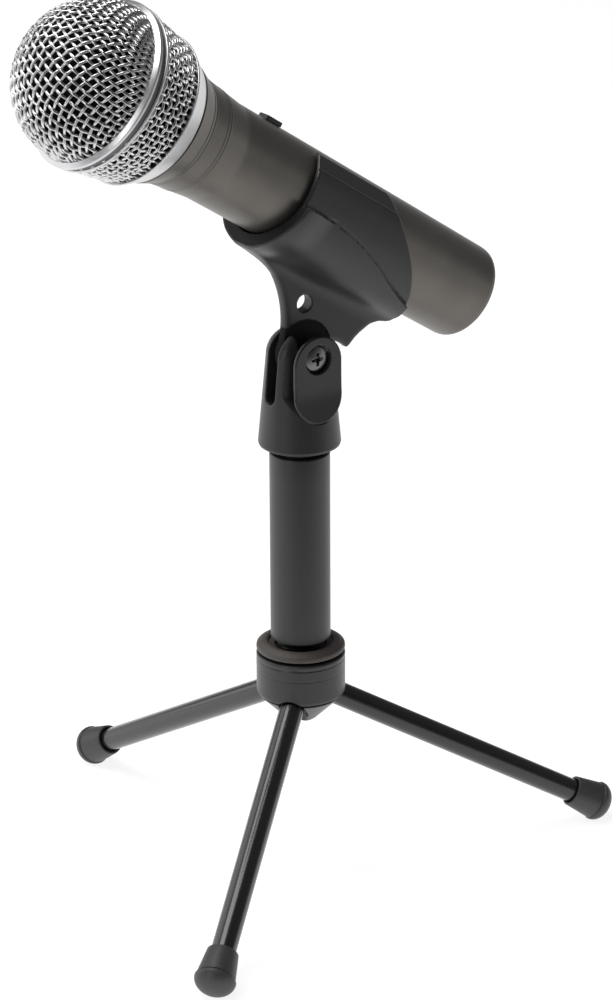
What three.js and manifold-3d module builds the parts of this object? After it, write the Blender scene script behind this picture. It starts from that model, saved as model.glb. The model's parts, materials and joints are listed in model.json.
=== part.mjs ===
// A folding tripod desktop stand whose clip holds a handheld microphone.
// Millimetres, +Z up. The microphone's head points to -X, the clip tilts about Y,
// and the origin is on the table, under the middle of the whole stand.

import * as THREE from 'three';
import { mergeVertices } from 'three/addons/utils/BufferGeometryUtils.js';
import Module from 'manifold-3d';

const wasm = await Module();
wasm.setup();

// ---------------------------------------------------------------- driving dimensions

const GAP = 0.3;                  // clearance kept between neighbouring pieces
const DEG = Math.PI / 180;
const FINE = 36;                  // facets round an outer surface
const MEDIUM = 28;                // facets round an inner or threaded piece
const COARSE = 18;                // facets round a small or hidden piece

// Legs: three rods that fold down about pins in the hub.
const LEG_AZIMUTHS = { right: -20.3, left: 99.7, front: 219.7 };
const LEG_RADIUS = 3.85;
const PIN_RADIUS = 1.3;
const PIN_LENGTH = 14.4;
const PIN_REACH = 8;              // pin axis to post axis
const FOOT_REACH = 99.1;          // centre of the foot's dome to post axis
const FOOT_DOME = 6.5;            // radius of the foot's domed end
const FOOT_CENTRE = 6.2;          // height of the dome's centre, so each foot has a small flat
const LEG_DROP = 29.4 * DEG;      // spread leg below the horizontal
const PIN_HEIGHT = FOOT_CENTRE + (FOOT_REACH - PIN_REACH) * Math.tan(LEG_DROP);
const LEG_LENGTH = (FOOT_REACH - PIN_REACH) / Math.cos(LEG_DROP);
const FOOT_MOUTH = 8.6;           // dome centre back to the foot's open end

// Hub, jam ring and post, all round about the post axis.
const HUB_RADIUS = 14.1;
const HUB_TOP = 71.4;
const HUB_BOTTOM = PIN_HEIGHT + GAP / 2;
const CAP_TIP = 48.7;
const GROOVE_HEIGHTS = [66.2, 69.9];
const STUD_RADIUS = 7.85;         // 5/8 inch thread
const STUD_BOTTOM = 63.5;
const STUD_TOP = 92;
const RING_BOTTOM = 72.8;
const RING_TOP = 76;
const TUBE_RADIUS = 9.5;
const TUBE_BOTTOM = 77.5;
const TUBE_TOP = 139.8;

// Clip base: a tapered socket with a slotted, domed top.
const BASE_BOTTOM = 141.5;
const BASE_FOOT_RADIUS = 13;
const COLLAR_BOTTOM = 140.3;      // short collar below the base, over the tube
const COLLAR_RADIUS = 9.8;
const INSERT_BOTTOM = 146;
const BASE_NECK_RADIUS = 10.3;
const BASE_NECK = 171;
const BASE_TOP = 180.2;
const SPIGOT_TOP = 154.6;
const PIVOT_HEIGHT = 171.75;
const SLOT_WIDTH = 4.8;
const SLOT_FLOOR = 157.3;
const PAD_FACE = 10.4;            // flat face of the near ear to the post axis
const PAD_RADIUS = 8.6;
const PAD_FOOT = 150.9;
const PAD_HEAD = 179.1;
const SCREW_RADIUS = 2.35;
const SCREW_HEAD = 4.3;
const NUT_ACROSS_FLATS = 8;

// Cradle: the sprung trough that grips the microphone, on a flat web and tongue.
const PITCH = 33.7 * DEG;         // microphone axis above the horizontal
const AXIS_RISE = 40.6;           // microphone axis above the tilt pivot
const AXIS_LEAD = 27;             // pivot to the microphone's datum, along its axis
const TONGUE = 4.2;
const TONGUE_RADIUS = 8.5;
const BORE = 16.4;
const ARM_RADIUS = 17.9;
const ARM_TOP = 14.2;
const LIP_RADIUS = 20.7;          // the fuller front end of the lower wall
const BODY_SINK = 1.4;            // how far the thick lower body hangs below the arms
const WEB_FILLET = 6;
const WEB_HOLE = { along: 8.2, up: 13.6, radius: 3.1 };

// Microphone, along its axis from the datum towards the head.
const TAIL = -74.4;
const NECK = 38;
const HANDLE_FRONT = 60.5;
const HANDLE_BORE = 13;
const NECK_BORE = 15;
const BAND = { rear: 60.8, front: 67.7, rearRadius: 20.5, frontRadius: 24 };
const BASKET = { rear: 68, front: 82.3, rearRadius: 23.6, frontRadius: 26 };
const DOME = { rear: 86.5, tip: 110.3, radius: 25.2 };
const SHELL = 0.9;                // thickness of the wire basket
const XLR = { radius: 8, offset: 2.2, floor: -57.5, rim: -73.5 };
const SWITCH = { rear: 20, front: 26.3, halfWidth: 2.4, top: 17.3, slot: 13.4, travel: 3.5 };

// ---------------------------------------------------------------- helpers

// A closed geometry whose corners are shared and whose collapsed faces are gone.
function weld(geometry) {
  const bare = geometry.clone();
  bare.deleteAttribute('normal');
  bare.deleteAttribute('uv');
  const merged = mergeVertices(bare, 1e-4);
  const index = merged.index.array;
  const kept = [];
  for (let i = 0; i < index.length; i += 3) {
    const [a, b, c] = [index[i], index[i + 1], index[i + 2]];
    if (a !== b && b !== c && c !== a) kept.push(a, b, c);
  }
  merged.setIndex(kept);
  return merged;
}

function toSolid(geometry) {
  const merged = weld(geometry);
  return new wasm.Manifold(new wasm.Mesh({
    numProp: 3,
    vertProperties: new Float32Array(merged.attributes.position.array),
    triVerts: new Uint32Array(merged.index.array),
  }));
}

function toGeometry(solid) {
  const cut = solid.getMesh();
  const geometry = new THREE.BufferGeometry();
  geometry.setAttribute('position', new THREE.BufferAttribute(cut.vertProperties, 3));
  geometry.setIndex(Array.from(cut.triVerts));
  return geometry;
}

function join(first, ...others) {
  return toGeometry(others.reduce((whole, next) => whole.add(toSolid(next)), toSolid(first)));
}

function cut(first, ...others) {
  return toGeometry(others.reduce((whole, next) => whole.subtract(toSolid(next)), toSolid(first)));
}

function common(first, second) {
  return toGeometry(toSolid(first).intersect(toSolid(second)));
}

// A solid of revolution about Z from [radius, height] points, run anticlockwise.
function turned(profile, facets = FINE) {
  const points = profile.map(([radius, height]) => new THREE.Vector2(radius, height));
  return weld(new THREE.LatheGeometry(points, facets).rotateX(Math.PI / 2));
}

// The same, turned to lie along the microphone: heights run towards the head, at -X.
function turnedAlong(profile, facets = FINE) {
  return turned(profile, facets).rotateY(-Math.PI / 2);
}

// A ring about Z with a square section.
function ringProfile(inner, outer, bottom, top) {
  return [[inner, bottom], [outer, bottom], [outer, top], [inner, top], [inner, bottom]];
}

function discProfile(radius, bottom, top) {
  return [[0, bottom], [radius, bottom], [radius, top], [0, top]];
}

// Points of a quarter ellipse from the widest radius up to the axis.
function domeProfile(radius, height, base, steps = 8) {
  const points = [];
  for (let i = 0; i <= steps; i += 1) {
    const angle = (i / steps) * Math.PI / 2;
    const isTip = i === steps;
    points.push([isTip ? 0 : radius * Math.cos(angle), base + height * Math.sin(angle)]);
  }
  return points;
}

// A cylinder along Y between two depths.
function crossPin(radius, from, to, facets = COARSE) {
  return new THREE.CylinderGeometry(radius, radius, to - from, facets).translate(0, (from + to) / 2, 0);
}

function block(lengthX, lengthY, lengthZ, x, y, z) {
  return new THREE.BoxGeometry(lengthX, lengthY, lengthZ).translate(x, y, z);
}

// A plate seen from the side: the outline's x runs towards the head, its y runs up.
function sidePlate(outline, thickness) {
  const options = { depth: thickness, bevelEnabled: false, curveSegments: 10 };
  const plate = new THREE.ExtrudeGeometry(outline, options);
  return plate.translate(0, 0, -thickness / 2).rotateX(Math.PI / 2).rotateZ(Math.PI);
}

// A bar along the microphone's axis: the section's x is across, its y is up.
function longBar(section, from, to, segments = 20) {
  const options = { depth: to - from, bevelEnabled: false, curveSegments: segments };
  const bar = new THREE.ExtrudeGeometry(section, options);
  return bar.translate(0, 0, from).rotateX(Math.PI / 2).rotateZ(-Math.PI / 2);
}

function shapeFrom(points) {
  return new THREE.Shape(points.map(([x, y]) => new THREE.Vector2(x, y)));
}

function finish(color, roughness, metalness = 0) {
  return new THREE.MeshStandardMaterial({ color, roughness, metalness });
}

const materials = {
  hubPlastic: finish(0x3c3b3d, 0.45),
  ringRubber: finish(0x3a3735, 0.7),
  postPaint: finish(0x38363a, 0.5, 0.3),
  legSteel: finish(0x1c1b1d, 0.25, 0.6),
  footRubber: finish(0x333233, 0.85),
  clipPlastic: finish(0x3e3d40, 0.55),
  screwSteel: finish(0x2a292b, 0.3, 0.8),
  zincSteel: finish(0xa8a9ab, 0.35, 0.9),
  brass: finish(0xb08d4c, 0.35, 0.9),
  handlePaint: finish(0x5e5a55, 0.4, 0.4),
  satinSilver: finish(0xc9cacc, 0.35, 0.9),
  polishedSilver: finish(0xdadbdc, 0.12, 1),
  grilleWire: finish(0xb9babc, 0.3, 0.9),
  darkPlastic: finish(0x1d1d1e, 0.5),
  foam: finish(0x151515, 1),
  boardGreen: finish(0x1f4d33, 0.6),
  gold: finish(0xcaa452, 0.3, 1),
};

function part(name, geometry, material) {
  const mesh = new THREE.Mesh(geometry, material);
  mesh.name = name;
  return mesh;
}

function group(...children) {
  const holder = new THREE.Group();
  holder.add(...children);
  return holder;
}

// ---------------------------------------------------------------- hub and legs

// Room for one leg to swing from its spread position to straight down.
function legSlot(azimuth) {
  const radius = LEG_RADIUS + GAP;
  const reach = 40;
  const ballRound = new THREE.SphereGeometry(radius, COARSE, 8);
  const arch = new THREE.CylinderGeometry(radius, radius, reach, COARSE).rotateZ(Math.PI / 2);
  arch.translate(reach / 2, 0, 0).rotateY(LEG_DROP);
  const below = new THREE.Shape();
  below.moveTo(-radius, -reach);
  below.lineTo(-radius, 0);
  below.lineTo(0, 0);
  below.lineTo(reach, -reach * Math.tan(LEG_DROP));
  below.lineTo(reach, -reach);
  const options = { depth: 2 * radius, bevelEnabled: false };
  const swing = new THREE.ExtrudeGeometry(below, options).translate(0, 0, -radius).rotateX(Math.PI / 2);
  return join(ballRound, arch, swing).translate(PIN_REACH, 0, PIN_HEIGHT).rotateZ(azimuth * DEG);
}

function pinBore(azimuth) {
  const half = PIN_LENGTH / 2 + GAP;
  const bore = crossPin(PIN_RADIUS + GAP, -half, half);
  return bore.translate(PIN_REACH, 0, PIN_HEIGHT).rotateZ(azimuth * DEG);
}

const azimuths = Object.values(LEG_AZIMUTHS);
const legSlots = azimuths.map(legSlot);
const pinBores = azimuths.map(pinBore);

function hubBody() {
  const screwHole = { radius: 1.8, top: 61.4 };
  const groove = 0.4;
  const edge = 1.2;
  const profile = [
    [0, screwHole.top],
    [screwHole.radius, screwHole.top],
    [screwHole.radius, HUB_BOTTOM],
    [HUB_RADIUS - edge, HUB_BOTTOM],
    [HUB_RADIUS - edge / 3, HUB_BOTTOM + edge / 3],
    [HUB_RADIUS, HUB_BOTTOM + edge],
  ];
  for (const height of GROOVE_HEIGHTS) {
    profile.push([HUB_RADIUS, height - groove], [HUB_RADIUS - groove, height]);
    profile.push([HUB_RADIUS, height + groove]);
  }
  profile.push([HUB_RADIUS, HUB_TOP - groove], [HUB_RADIUS - groove, HUB_TOP]);
  profile.push([STUD_RADIUS + GAP, HUB_TOP], [STUD_RADIUS + GAP, STUD_BOTTOM - GAP], [0, STUD_BOTTOM - GAP]);
  return part('hub_body', cut(turned(profile), ...legSlots, ...pinBores), materials.hubPlastic);
}

// The cone that closes the hub from below and traps the leg pins.
function hubBottomCap() {
  const top = PIN_HEIGHT - GAP / 2;
  const rim = HUB_RADIUS - 1;
  const tip = 4.2;
  const screwRoom = { shank: 1.9, head: 3, floor: CAP_TIP + 2.4 };
  const profile = [
    [screwRoom.shank, top],
    [screwRoom.shank, screwRoom.floor],
    [screwRoom.head, screwRoom.floor],
    [screwRoom.head, CAP_TIP],
    [tip, CAP_TIP],
    [tip + 1.2, CAP_TIP + 0.6],
    [rim, top - 0.5],
    [rim - 0.2, top],
    [screwRoom.shank, top],
  ];
  return part('hub_bottom_cap', cut(turned(profile), ...legSlots, ...pinBores), materials.hubPlastic);
}

function hubCapScrew() {
  const head = { radius: 2.7, bottom: CAP_TIP + 0.5, top: CAP_TIP + 2.1 };
  const shank = { radius: 1.5, top: 61 };
  const profile = [
    [0, head.bottom],
    [head.radius, head.bottom],
    [head.radius, head.top],
    [shank.radius, head.top],
    [shank.radius, shank.top],
    [0, shank.top],
  ];
  return part('hub_cap_screw', turned(profile, COARSE), materials.zincSteel);
}

function legPin(side) {
  const pin = crossPin(PIN_RADIUS, -PIN_LENGTH / 2, PIN_LENGTH / 2);
  return part(`leg_pin_${side}`, pin, materials.zincSteel);
}

function legRod(side) {
  const end = LEG_LENGTH + 0.3;
  const chamfer = 0.5;
  const roundEnd = domeProfile(LEG_RADIUS, LEG_RADIUS, 0, 6).map(([radius, height]) => [radius, -height]);
  const profile = [
    ...roundEnd.reverse(),
    [LEG_RADIUS, end - chamfer],
    [LEG_RADIUS - chamfer, end],
    [0, end],
  ];
  const rod = turned(profile, COARSE).rotateY(Math.PI / 2);
  const bore = crossPin(PIN_RADIUS + GAP, -LEG_RADIUS - 1, LEG_RADIUS + 1);
  return part(`leg_rod_${side}`, cut(rod, bore), materials.legSteel);
}

// A rubber cap on the rod's end, with a lip at its mouth and a flat where it stands.
function legFoot(side) {
  const bore = LEG_RADIUS + GAP;
  const bottom = 0.6;
  const lip = 5.3;
  const profile = [
    [0, bottom],
    [bore, bottom],
    [bore, -FOOT_MOUTH],
    [lip - 0.3, -FOOT_MOUTH],
    [lip, -FOOT_MOUTH + 0.4],
    [lip, -FOOT_MOUTH + 1.2],
    [lip - 0.25, -FOOT_MOUTH + 1.6],
    [6.1, -3],
    ...domeProfile(FOOT_DOME, FOOT_DOME, 0, 7),
  ];
  const cap = turned(profile, COARSE).rotateY(Math.PI / 2);
  const size = 20;
  const table = block(size, size, size, 0, 0, -size / 2 - FOOT_CENTRE).rotateY(-LEG_DROP);
  const foot = cut(cap, table).translate(LEG_LENGTH, 0, 0);
  return part(`leg_foot_${side}`, foot, materials.footRubber);
}

function leg(side) {
  const swing = group(legRod(side), legFoot(side));
  swing.rotation.y = LEG_DROP;
  const atPin = group(legPin(side), swing);
  atPin.position.set(PIN_REACH, 0, PIN_HEIGHT);
  const turnedOut = group(atPin);
  turnedOut.rotation.z = LEG_AZIMUTHS[side] * DEG;
  return turnedOut;
}

// ---------------------------------------------------------------- jam ring and post

function postStud() {
  const chamfer = 1;
  const profile = [
    [0, STUD_BOTTOM],
    [STUD_RADIUS, STUD_BOTTOM],
    [STUD_RADIUS, STUD_TOP - chamfer],
    [STUD_RADIUS - chamfer, STUD_TOP],
    [0, STUD_TOP],
  ];
  return part('post_stud', turned(profile, MEDIUM), materials.zincSteel);
}

function lockWasher() {
  const profile = ringProfile(STUD_RADIUS + GAP, 12.6, HUB_TOP + GAP, RING_BOTTOM - GAP);
  return part('lock_washer', turned(profile, MEDIUM), materials.darkPlastic);
}

function lockRing() {
  const bore = STUD_RADIUS + GAP;
  const mouth = 10.2;
  const edge = 0.8;
  const profile = [
    [bore, RING_BOTTOM],
    [HUB_RADIUS - edge / 2, RING_BOTTOM],
    [HUB_RADIUS, RING_BOTTOM + edge / 2],
    [HUB_RADIUS, RING_TOP - edge],
    [HUB_RADIUS - edge, RING_TOP],
    [mouth + edge, RING_TOP],
    [mouth, RING_TOP - edge],
    [mouth, RING_TOP - 1.6],
    [bore, RING_TOP - 1.6],
    [bore, RING_BOTTOM],
  ];
  return part('lock_ring', turned(profile), materials.ringRubber);
}

function postTube() {
  const bore = STUD_RADIUS + GAP;
  const chamfer = 0.4;
  const profile = [
    [bore, TUBE_BOTTOM],
    [TUBE_RADIUS - chamfer, TUBE_BOTTOM],
    [TUBE_RADIUS, TUBE_BOTTOM + chamfer],
    [TUBE_RADIUS, TUBE_TOP - chamfer],
    [TUBE_RADIUS - chamfer, TUBE_TOP],
    [bore, TUBE_TOP],
    [bore, TUBE_BOTTOM],
  ];
  return part('post_tube', turned(profile), materials.postPaint);
}

// The threaded spigot pressed into the tube's top, which the clip screws onto.
function postSpigot() {
  const bottom = 122;
  const chamfer = 0.8;
  const profile = [
    [0, bottom],
    [STUD_RADIUS, bottom],
    [STUD_RADIUS, SPIGOT_TOP - chamfer],
    [STUD_RADIUS - chamfer, SPIGOT_TOP],
    [0, SPIGOT_TOP],
  ];
  return part('post_spigot', turned(profile, MEDIUM), materials.zincSteel);
}

// ---------------------------------------------------------------- clip base

function padOutline(radius) {
  const lower = PAD_FOOT + PAD_RADIUS;
  const outline = new THREE.Shape();
  outline.absarc(0, PAD_HEAD - PAD_RADIUS, radius, 0, Math.PI);
  outline.absarc(0, lower, radius, Math.PI, 2 * Math.PI);
  return outline;
}

// The near ear's flat oval pad, and the shallow pocket that frees its lower end.
function earSlab(radius, from, to) {
  const options = { depth: to - from, bevelEnabled: false, curveSegments: 12 };
  return new THREE.ExtrudeGeometry(padOutline(radius), options).rotateX(Math.PI / 2).translate(0, to, 0);
}

function slotCutter() {
  const half = SLOT_WIDTH / 2;
  const above = BASE_TOP + 10;
  const section = new THREE.Shape();
  section.moveTo(half, above);
  section.lineTo(-half, above);
  section.absarc(0, SLOT_FLOOR + half, half, Math.PI, 2 * Math.PI);
  return longBar(section, -20, 20, 8);
}

function clipBase() {
  const spigotRoom = { radius: STUD_RADIUS + GAP, from: COLLAR_BOTTOM - 1, top: INSERT_BOTTOM };
  const insertRoom = { radius: 9.7, from: INSERT_BOTTOM - GAP, top: SPIGOT_TOP + 0.6 };
  const profile = [
    [0, COLLAR_BOTTOM],
    [COLLAR_RADIUS - 0.3, COLLAR_BOTTOM],
    [COLLAR_RADIUS, COLLAR_BOTTOM + 0.3],
    [COLLAR_RADIUS, BASE_BOTTOM],
    [BASE_FOOT_RADIUS - 1.2, BASE_BOTTOM + 0.1],
    [BASE_FOOT_RADIUS - 0.3, BASE_BOTTOM + 0.5],
    [BASE_FOOT_RADIUS, BASE_BOTTOM + 1.2],
    ...domeProfile(BASE_NECK_RADIUS, BASE_TOP - BASE_NECK, BASE_NECK, 8),
  ];
  const pocketDepth = 6;
  const chamfer = 0.5;
  const pocket = earSlab(PAD_RADIUS + chamfer, -PAD_FACE - pocketDepth, -PAD_FACE);
  const ear = earSlab(PAD_RADIUS, -PAD_FACE, -SLOT_WIDTH / 2);
  const body = join(cut(turned(profile), pocket), ear);
  const rooms = [spigotRoom, insertRoom].map((room) => turned(discProfile(room.radius, room.from, room.top)));
  const bore = crossPin(SCREW_RADIUS + GAP, -20, 20);
  const counterbore = crossPin(SCREW_HEAD + 0.7, -20, -6.7);
  const nutPocket = crossPin(NUT_ACROSS_FLATS / Math.sqrt(3) + GAP, 5.9, 20, 6);
  const screwRooms = [bore, counterbore, nutPocket].map((piece) => piece.translate(0, 0, PIVOT_HEIGHT));
  return part('clip_base', cut(body, ...rooms, slotCutter(), ...screwRooms), materials.clipPlastic);
}

function threadInsert() {
  const profile = ringProfile(STUD_RADIUS + GAP, 9.4, INSERT_BOTTOM, SPIGOT_TOP + GAP);
  return part('thread_insert', turned(profile, MEDIUM), materials.brass);
}

// A pan head with a cross recess, on a shank that reaches the nut.
function pivotScrew() {
  const faceDepth = -10.1;
  const headBack = -8.1;
  const shank = crossPin(SCREW_RADIUS, headBack - 0.5, 10);
  const head = turned([
    [0, 0],
    [SCREW_HEAD, 0],
    [SCREW_HEAD, 0.9],
    [SCREW_HEAD - 0.5, 1.5],
    [SCREW_HEAD - 1.6, 1.9],
    [0, headBack - faceDepth],
  ], COARSE).rotateX(Math.PI / 2).translate(0, headBack, 0);
  const recess = { length: 4.2, width: 0.9, depth: 1.3 };
  const across = block(recess.length, recess.depth * 2, recess.width, 0, faceDepth, 0);
  const upright = block(recess.width, recess.depth * 2, recess.length, 0, faceDepth, 0);
  const screw = cut(join(shank, head), across, upright).translate(0, 0, PIVOT_HEIGHT);
  return part('pivot_screw', screw, materials.screwSteel);
}

function pivotWasher() {
  const profile = ringProfile(SCREW_RADIUS + GAP, SCREW_HEAD + 0.4, 7, 7.8);
  const washer = turned(profile, COARSE).rotateX(Math.PI / 2).translate(0, 0, PIVOT_HEIGHT);
  return part('pivot_washer', washer, materials.zincSteel);
}

function pivotNut() {
  const nut = crossPin(NUT_ACROSS_FLATS / Math.sqrt(3), 6.2, 9.8, 6);
  const thread = crossPin(SCREW_RADIUS + GAP, 0, 20);
  return part('pivot_nut', cut(nut, thread).translate(0, 0, PIVOT_HEIGHT), materials.zincSteel);
}

// ---------------------------------------------------------------- cradle

// The trough's side view, as the wall is cut: x towards the head, y above the bore's axis.
function troughOutline() {
  return shapeFrom([
    [9.6, -24], [10.4, -20.8], [12.2, -16.2], [11.9, -12], [10.8, -6], [9.9, -1], [9.5, 4], [9.5, ARM_TOP],
    [-21.4, ARM_TOP], [-23.2, ARM_TOP - 1], [-28, 7.6], [-37.1, -1.6], [-44.2, -9.3], [-48.2, -13.9],
    [-49.8, -16.2], [-50.4, -18], [-50, -20], [-46, -24],
  ]);
}

// The thicker lower body, below the long crease on each side.
function lowerBodyOutline() {
  return shapeFrom([
    [6, -24.5], [9.6, -21.2], [10.4, -20.8], [12.2, -16.2], [11.9, -12], [10.8, -6], [9.9, -2.4], [9, -2.2],
    [-2.3, -1.9], [-9.7, -2.8], [-17.6, -4.3], [-27.1, -7], [-33.2, -9.4], [-39.3, -11.4], [-47.7, -13.5],
    [-49.2, -16.2], [-49.8, -18], [-49.4, -20], [-46, -24.5],
  ]);
}

// The keel section: a round belly that flows down into the flat web.
function bellySection() {
  const half = TONGUE / 2;
  const reach = ARM_RADIUS + WEB_FILLET;
  const fillet = half + WEB_FILLET;
  const drop = Math.sqrt(reach * reach - fillet * fillet);
  const start = Math.atan2(drop, fillet);
  const section = new THREE.Shape();
  section.absarc(0, -BODY_SINK, ARM_RADIUS, -start, Math.PI + start);
  section.absarc(-fillet, -BODY_SINK - drop, WEB_FILLET, start, 0, true);
  section.lineTo(half, -BODY_SINK - drop);
  section.absarc(fillet, -BODY_SINK - drop, WEB_FILLET, Math.PI, Math.PI - start, true);
  return section;
}

// The flat web from the tilt pivot up to the trough, with its nose and rear shoulder.
function webOutline() {
  const fromPivot = (along, up) => [along - AXIS_LEAD, up - AXIS_RISE];
  const outline = new THREE.Shape();
  outline.moveTo(...fromPivot(TONGUE_RADIUS, 0));
  outline.bezierCurveTo(...fromPivot(11, 6.5), ...fromPivot(16, 12.5), ...fromPivot(23.2, 16.6));
  outline.bezierCurveTo(...fromPivot(27.5, 18.3), ...fromPivot(32, 19.3), ...fromPivot(36.7, 19.6));
  outline.lineTo(...fromPivot(36.7, 24));
  outline.lineTo(...fromPivot(35, 26));
  outline.lineTo(...fromPivot(-21, 26));
  outline.lineTo(...fromPivot(-25, 22.3));
  outline.quadraticCurveTo(...fromPivot(-17.5, 18), ...fromPivot(-15.3, 7.5));
  outline.quadraticCurveTo(...fromPivot(-11, 8.6), ...fromPivot(-6, 6));
  outline.absarc(-AXIS_LEAD, -AXIS_RISE, TONGUE_RADIUS, Math.PI * 0.75, Math.PI * 2);
  return outline;
}

function clipCradle() {
  const wide = 60;
  const circle = new THREE.Shape();
  circle.absarc(0, 0, ARM_RADIUS, 0, Math.PI * 2);
  const arms = common(longBar(circle, -60, 30, FINE), sidePlate(troughOutline(), wide));
  const lip = turnedAlong([[0, -3], [ARM_RADIUS, -3], [LIP_RADIUS, 9.4], [LIP_RADIUS, 13], [0, 13]]);
  const rounds = join(longBar(bellySection(), -60, 30), lip);
  const belly = common(rounds, sidePlate(lowerBodyOutline(), wide));
  const web = sidePlate(webOutline(), TONGUE);
  const bore = turnedAlong(discProfile(BORE, -80, 60));
  const hole = crossPin(WEB_HOLE.radius, -10, 10);
  hole.translate(AXIS_LEAD - WEB_HOLE.along, 0, WEB_HOLE.up - AXIS_RISE);
  const pivot = crossPin(SCREW_RADIUS + GAP, -10, 10).translate(AXIS_LEAD, 0, -AXIS_RISE);
  return part('clip_cradle', cut(join(arms, belly, web), bore, hole, pivot), materials.clipPlastic);
}

// ---------------------------------------------------------------- microphone body

const switchMiddle = -(SWITCH.rear + SWITCH.front) / 2;

function micHandle() {
  const groove = 0.35;
  const neckGrooves = [[46.7, 17], [53.4, 17.7]];
  const profile = [
    [HANDLE_BORE, TAIL + 0.2],
    [14.2, TAIL],
    [15, TAIL + 0.3],
    [15.3, TAIL + 1.1],
    [16, NECK],
  ];
  for (const [along, radius] of neckGrooves) {
    profile.push([radius, along - groove], [radius - groove, along], [radius, along + groove]);
  }
  profile.push([20.3, HANDLE_FRONT], [NECK_BORE, HANDLE_FRONT], [NECK_BORE, 46]);
  profile.push([HANDLE_BORE, 43], [HANDLE_BORE, TAIL + 0.2]);
  const slot = block(SWITCH.slot, 6, 8, switchMiddle + SWITCH.travel / 2, 0, 16);
  const screwHole = turned(discProfile(1.3, -20, -12), 16).translate(30, 0, 0);
  return part('mic_handle', cut(turnedAlong(profile), slot, screwHole), materials.handlePaint);
}

function micThreadCollar() {
  const profile = ringProfile(12.4, NECK_BORE - GAP, 48, 66);
  return part('mic_thread_collar', turnedAlong(profile, MEDIUM), materials.zincSteel);
}

function grilleBand() {
  const wall = 2;
  const profile = [
    [NECK_BORE, BAND.rear],
    [BAND.rearRadius, BAND.rear],
    [BAND.frontRadius, BAND.front - 0.5],
    [BAND.frontRadius - 0.3, BAND.front],
    [BAND.frontRadius - wall, BAND.front],
    [NECK_BORE + wall, BAND.rear + wall],
    [NECK_BORE, BAND.rear + wall],
    [NECK_BORE, BAND.rear],
  ];
  return part('mic_grille_band', turnedAlong(profile), materials.satinSilver);
}

function grilleBasket() {
  const middle = { along: (BASKET.rear + BASKET.front) / 2, radius: 25.3 };
  const profile = [
    [BASKET.rearRadius - SHELL, BASKET.rear],
    [BASKET.rearRadius, BASKET.rear],
    [middle.radius, middle.along],
    [BASKET.frontRadius, BASKET.front],
    [BASKET.frontRadius - SHELL, BASKET.front],
    [middle.radius - SHELL, middle.along],
    [BASKET.rearRadius - SHELL, BASKET.rear],
  ];
  return part('mic_grille_basket', turnedAlong(profile), materials.grilleWire);
}

function grilleRings() {
  const inner = 24.5;
  const rear = ringProfile(inner, 26.6, 82.6, 83.5);
  const groove = ringProfile(inner, 25.9, 83.8, 84.9);
  const front = ringProfile(inner, 26.3, 85.2, 86.2);
  return [
    part('mic_grille_ring_rear', turnedAlong(rear), materials.polishedSilver),
    part('mic_grille_ring_groove', turnedAlong(groove), materials.darkPlastic),
    part('mic_grille_ring_front', turnedAlong(front), materials.polishedSilver),
  ];
}

function grilleDome() {
  const height = DOME.tip - DOME.rear;
  const inside = domeProfile(DOME.radius - SHELL, height - SHELL, DOME.rear);
  const profile = [...inside.reverse(), ...domeProfile(DOME.radius, height, DOME.rear)];
  return part('mic_grille_dome', turnedAlong(profile), materials.grilleWire);
}

function foamLiner() {
  const skin = SHELL + GAP;
  const thickness = 4;
  const height = DOME.tip - DOME.rear - skin;
  const outer = domeProfile(DOME.radius - skin - 0.1, height, DOME.rear, 7);
  const inner = domeProfile(DOME.radius - skin - thickness, height - thickness, DOME.rear, 7);
  const rear = BASKET.rear + 0.8;
  const profile = [
    ...inner.reverse(),
    [18.5, rear],
    [BASKET.rearRadius - skin - 0.2, rear],
    ...outer,
  ];
  return part('mic_foam_liner', turnedAlong(profile, MEDIUM), materials.foam);
}

function capsule() {
  const profile = [
    [0, 57],
    [10, 57],
    [11.6, 58.5],
    [11.6, 76],
    [10.4, 78.5],
    [9, 79.2],
    [0, 79.2],
  ];
  return part('mic_capsule', turnedAlong(profile, MEDIUM), materials.darkPlastic);
}

function shockMount() {
  const profile = [
    [4, 44],
    [11.8, 44],
    [11.8, 48],
    [9.5, 50],
    [11.8, 52],
    [11.8, 56.6],
    [4, 56.6],
    [4, 44],
  ];
  return part('mic_shock_mount', turnedAlong(profile, MEDIUM), materials.footRubber);
}

// ---------------------------------------------------------------- switch and electronics

function switchPlate() {
  const middle = switchMiddle + SWITCH.travel / 2;
  const plate = block(SWITCH.slot - 2 * GAP, 5.4, 1.8, middle, 0, 14.6);
  const window = block(SWITCH.travel + 2.6, 2.4, 6, middle, 0, 14.6);
  return part('mic_switch_plate', cut(plate, window), materials.darkPlastic);
}

// A ribbed thumb button on a stem that passes through the plate.
function switchKnob() {
  const length = SWITCH.front - SWITCH.rear;
  const thickness = SWITCH.top - 15.8;
  const cap = block(length, 2 * SWITCH.halfWidth, thickness, switchMiddle, 0, 15.8 + thickness / 2);
  const stem = block(2, 1.6, 4.6, switchMiddle, 0, 13.9);
  const ribs = [-2, 0, 2].map((offset) => block(0.5, 8, 0.8, switchMiddle + offset, 0, SWITCH.top));
  return part('mic_switch_knob', cut(join(cap, stem), ...ribs), materials.darkPlastic);
}

function switchBlock() {
  const body = block(12, 5.6, 10, switchMiddle, 0, 6.2);
  return part('mic_switch_block', body, materials.darkPlastic);
}

function circuitBoard() {
  const ends = { rear: -48, front: 34 };
  const board = block(ends.front - ends.rear, 18, 1.6, -(ends.front + ends.rear) / 2, 0, 0);
  return part('mic_circuit_board', board, materials.boardGreen);
}

const USB = { width: 7.9, height: 3.4, up: -9.3, depth: 9.5 };
const JACK = { radius: 2.3, across: 7.6, up: -6.4 };

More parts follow.
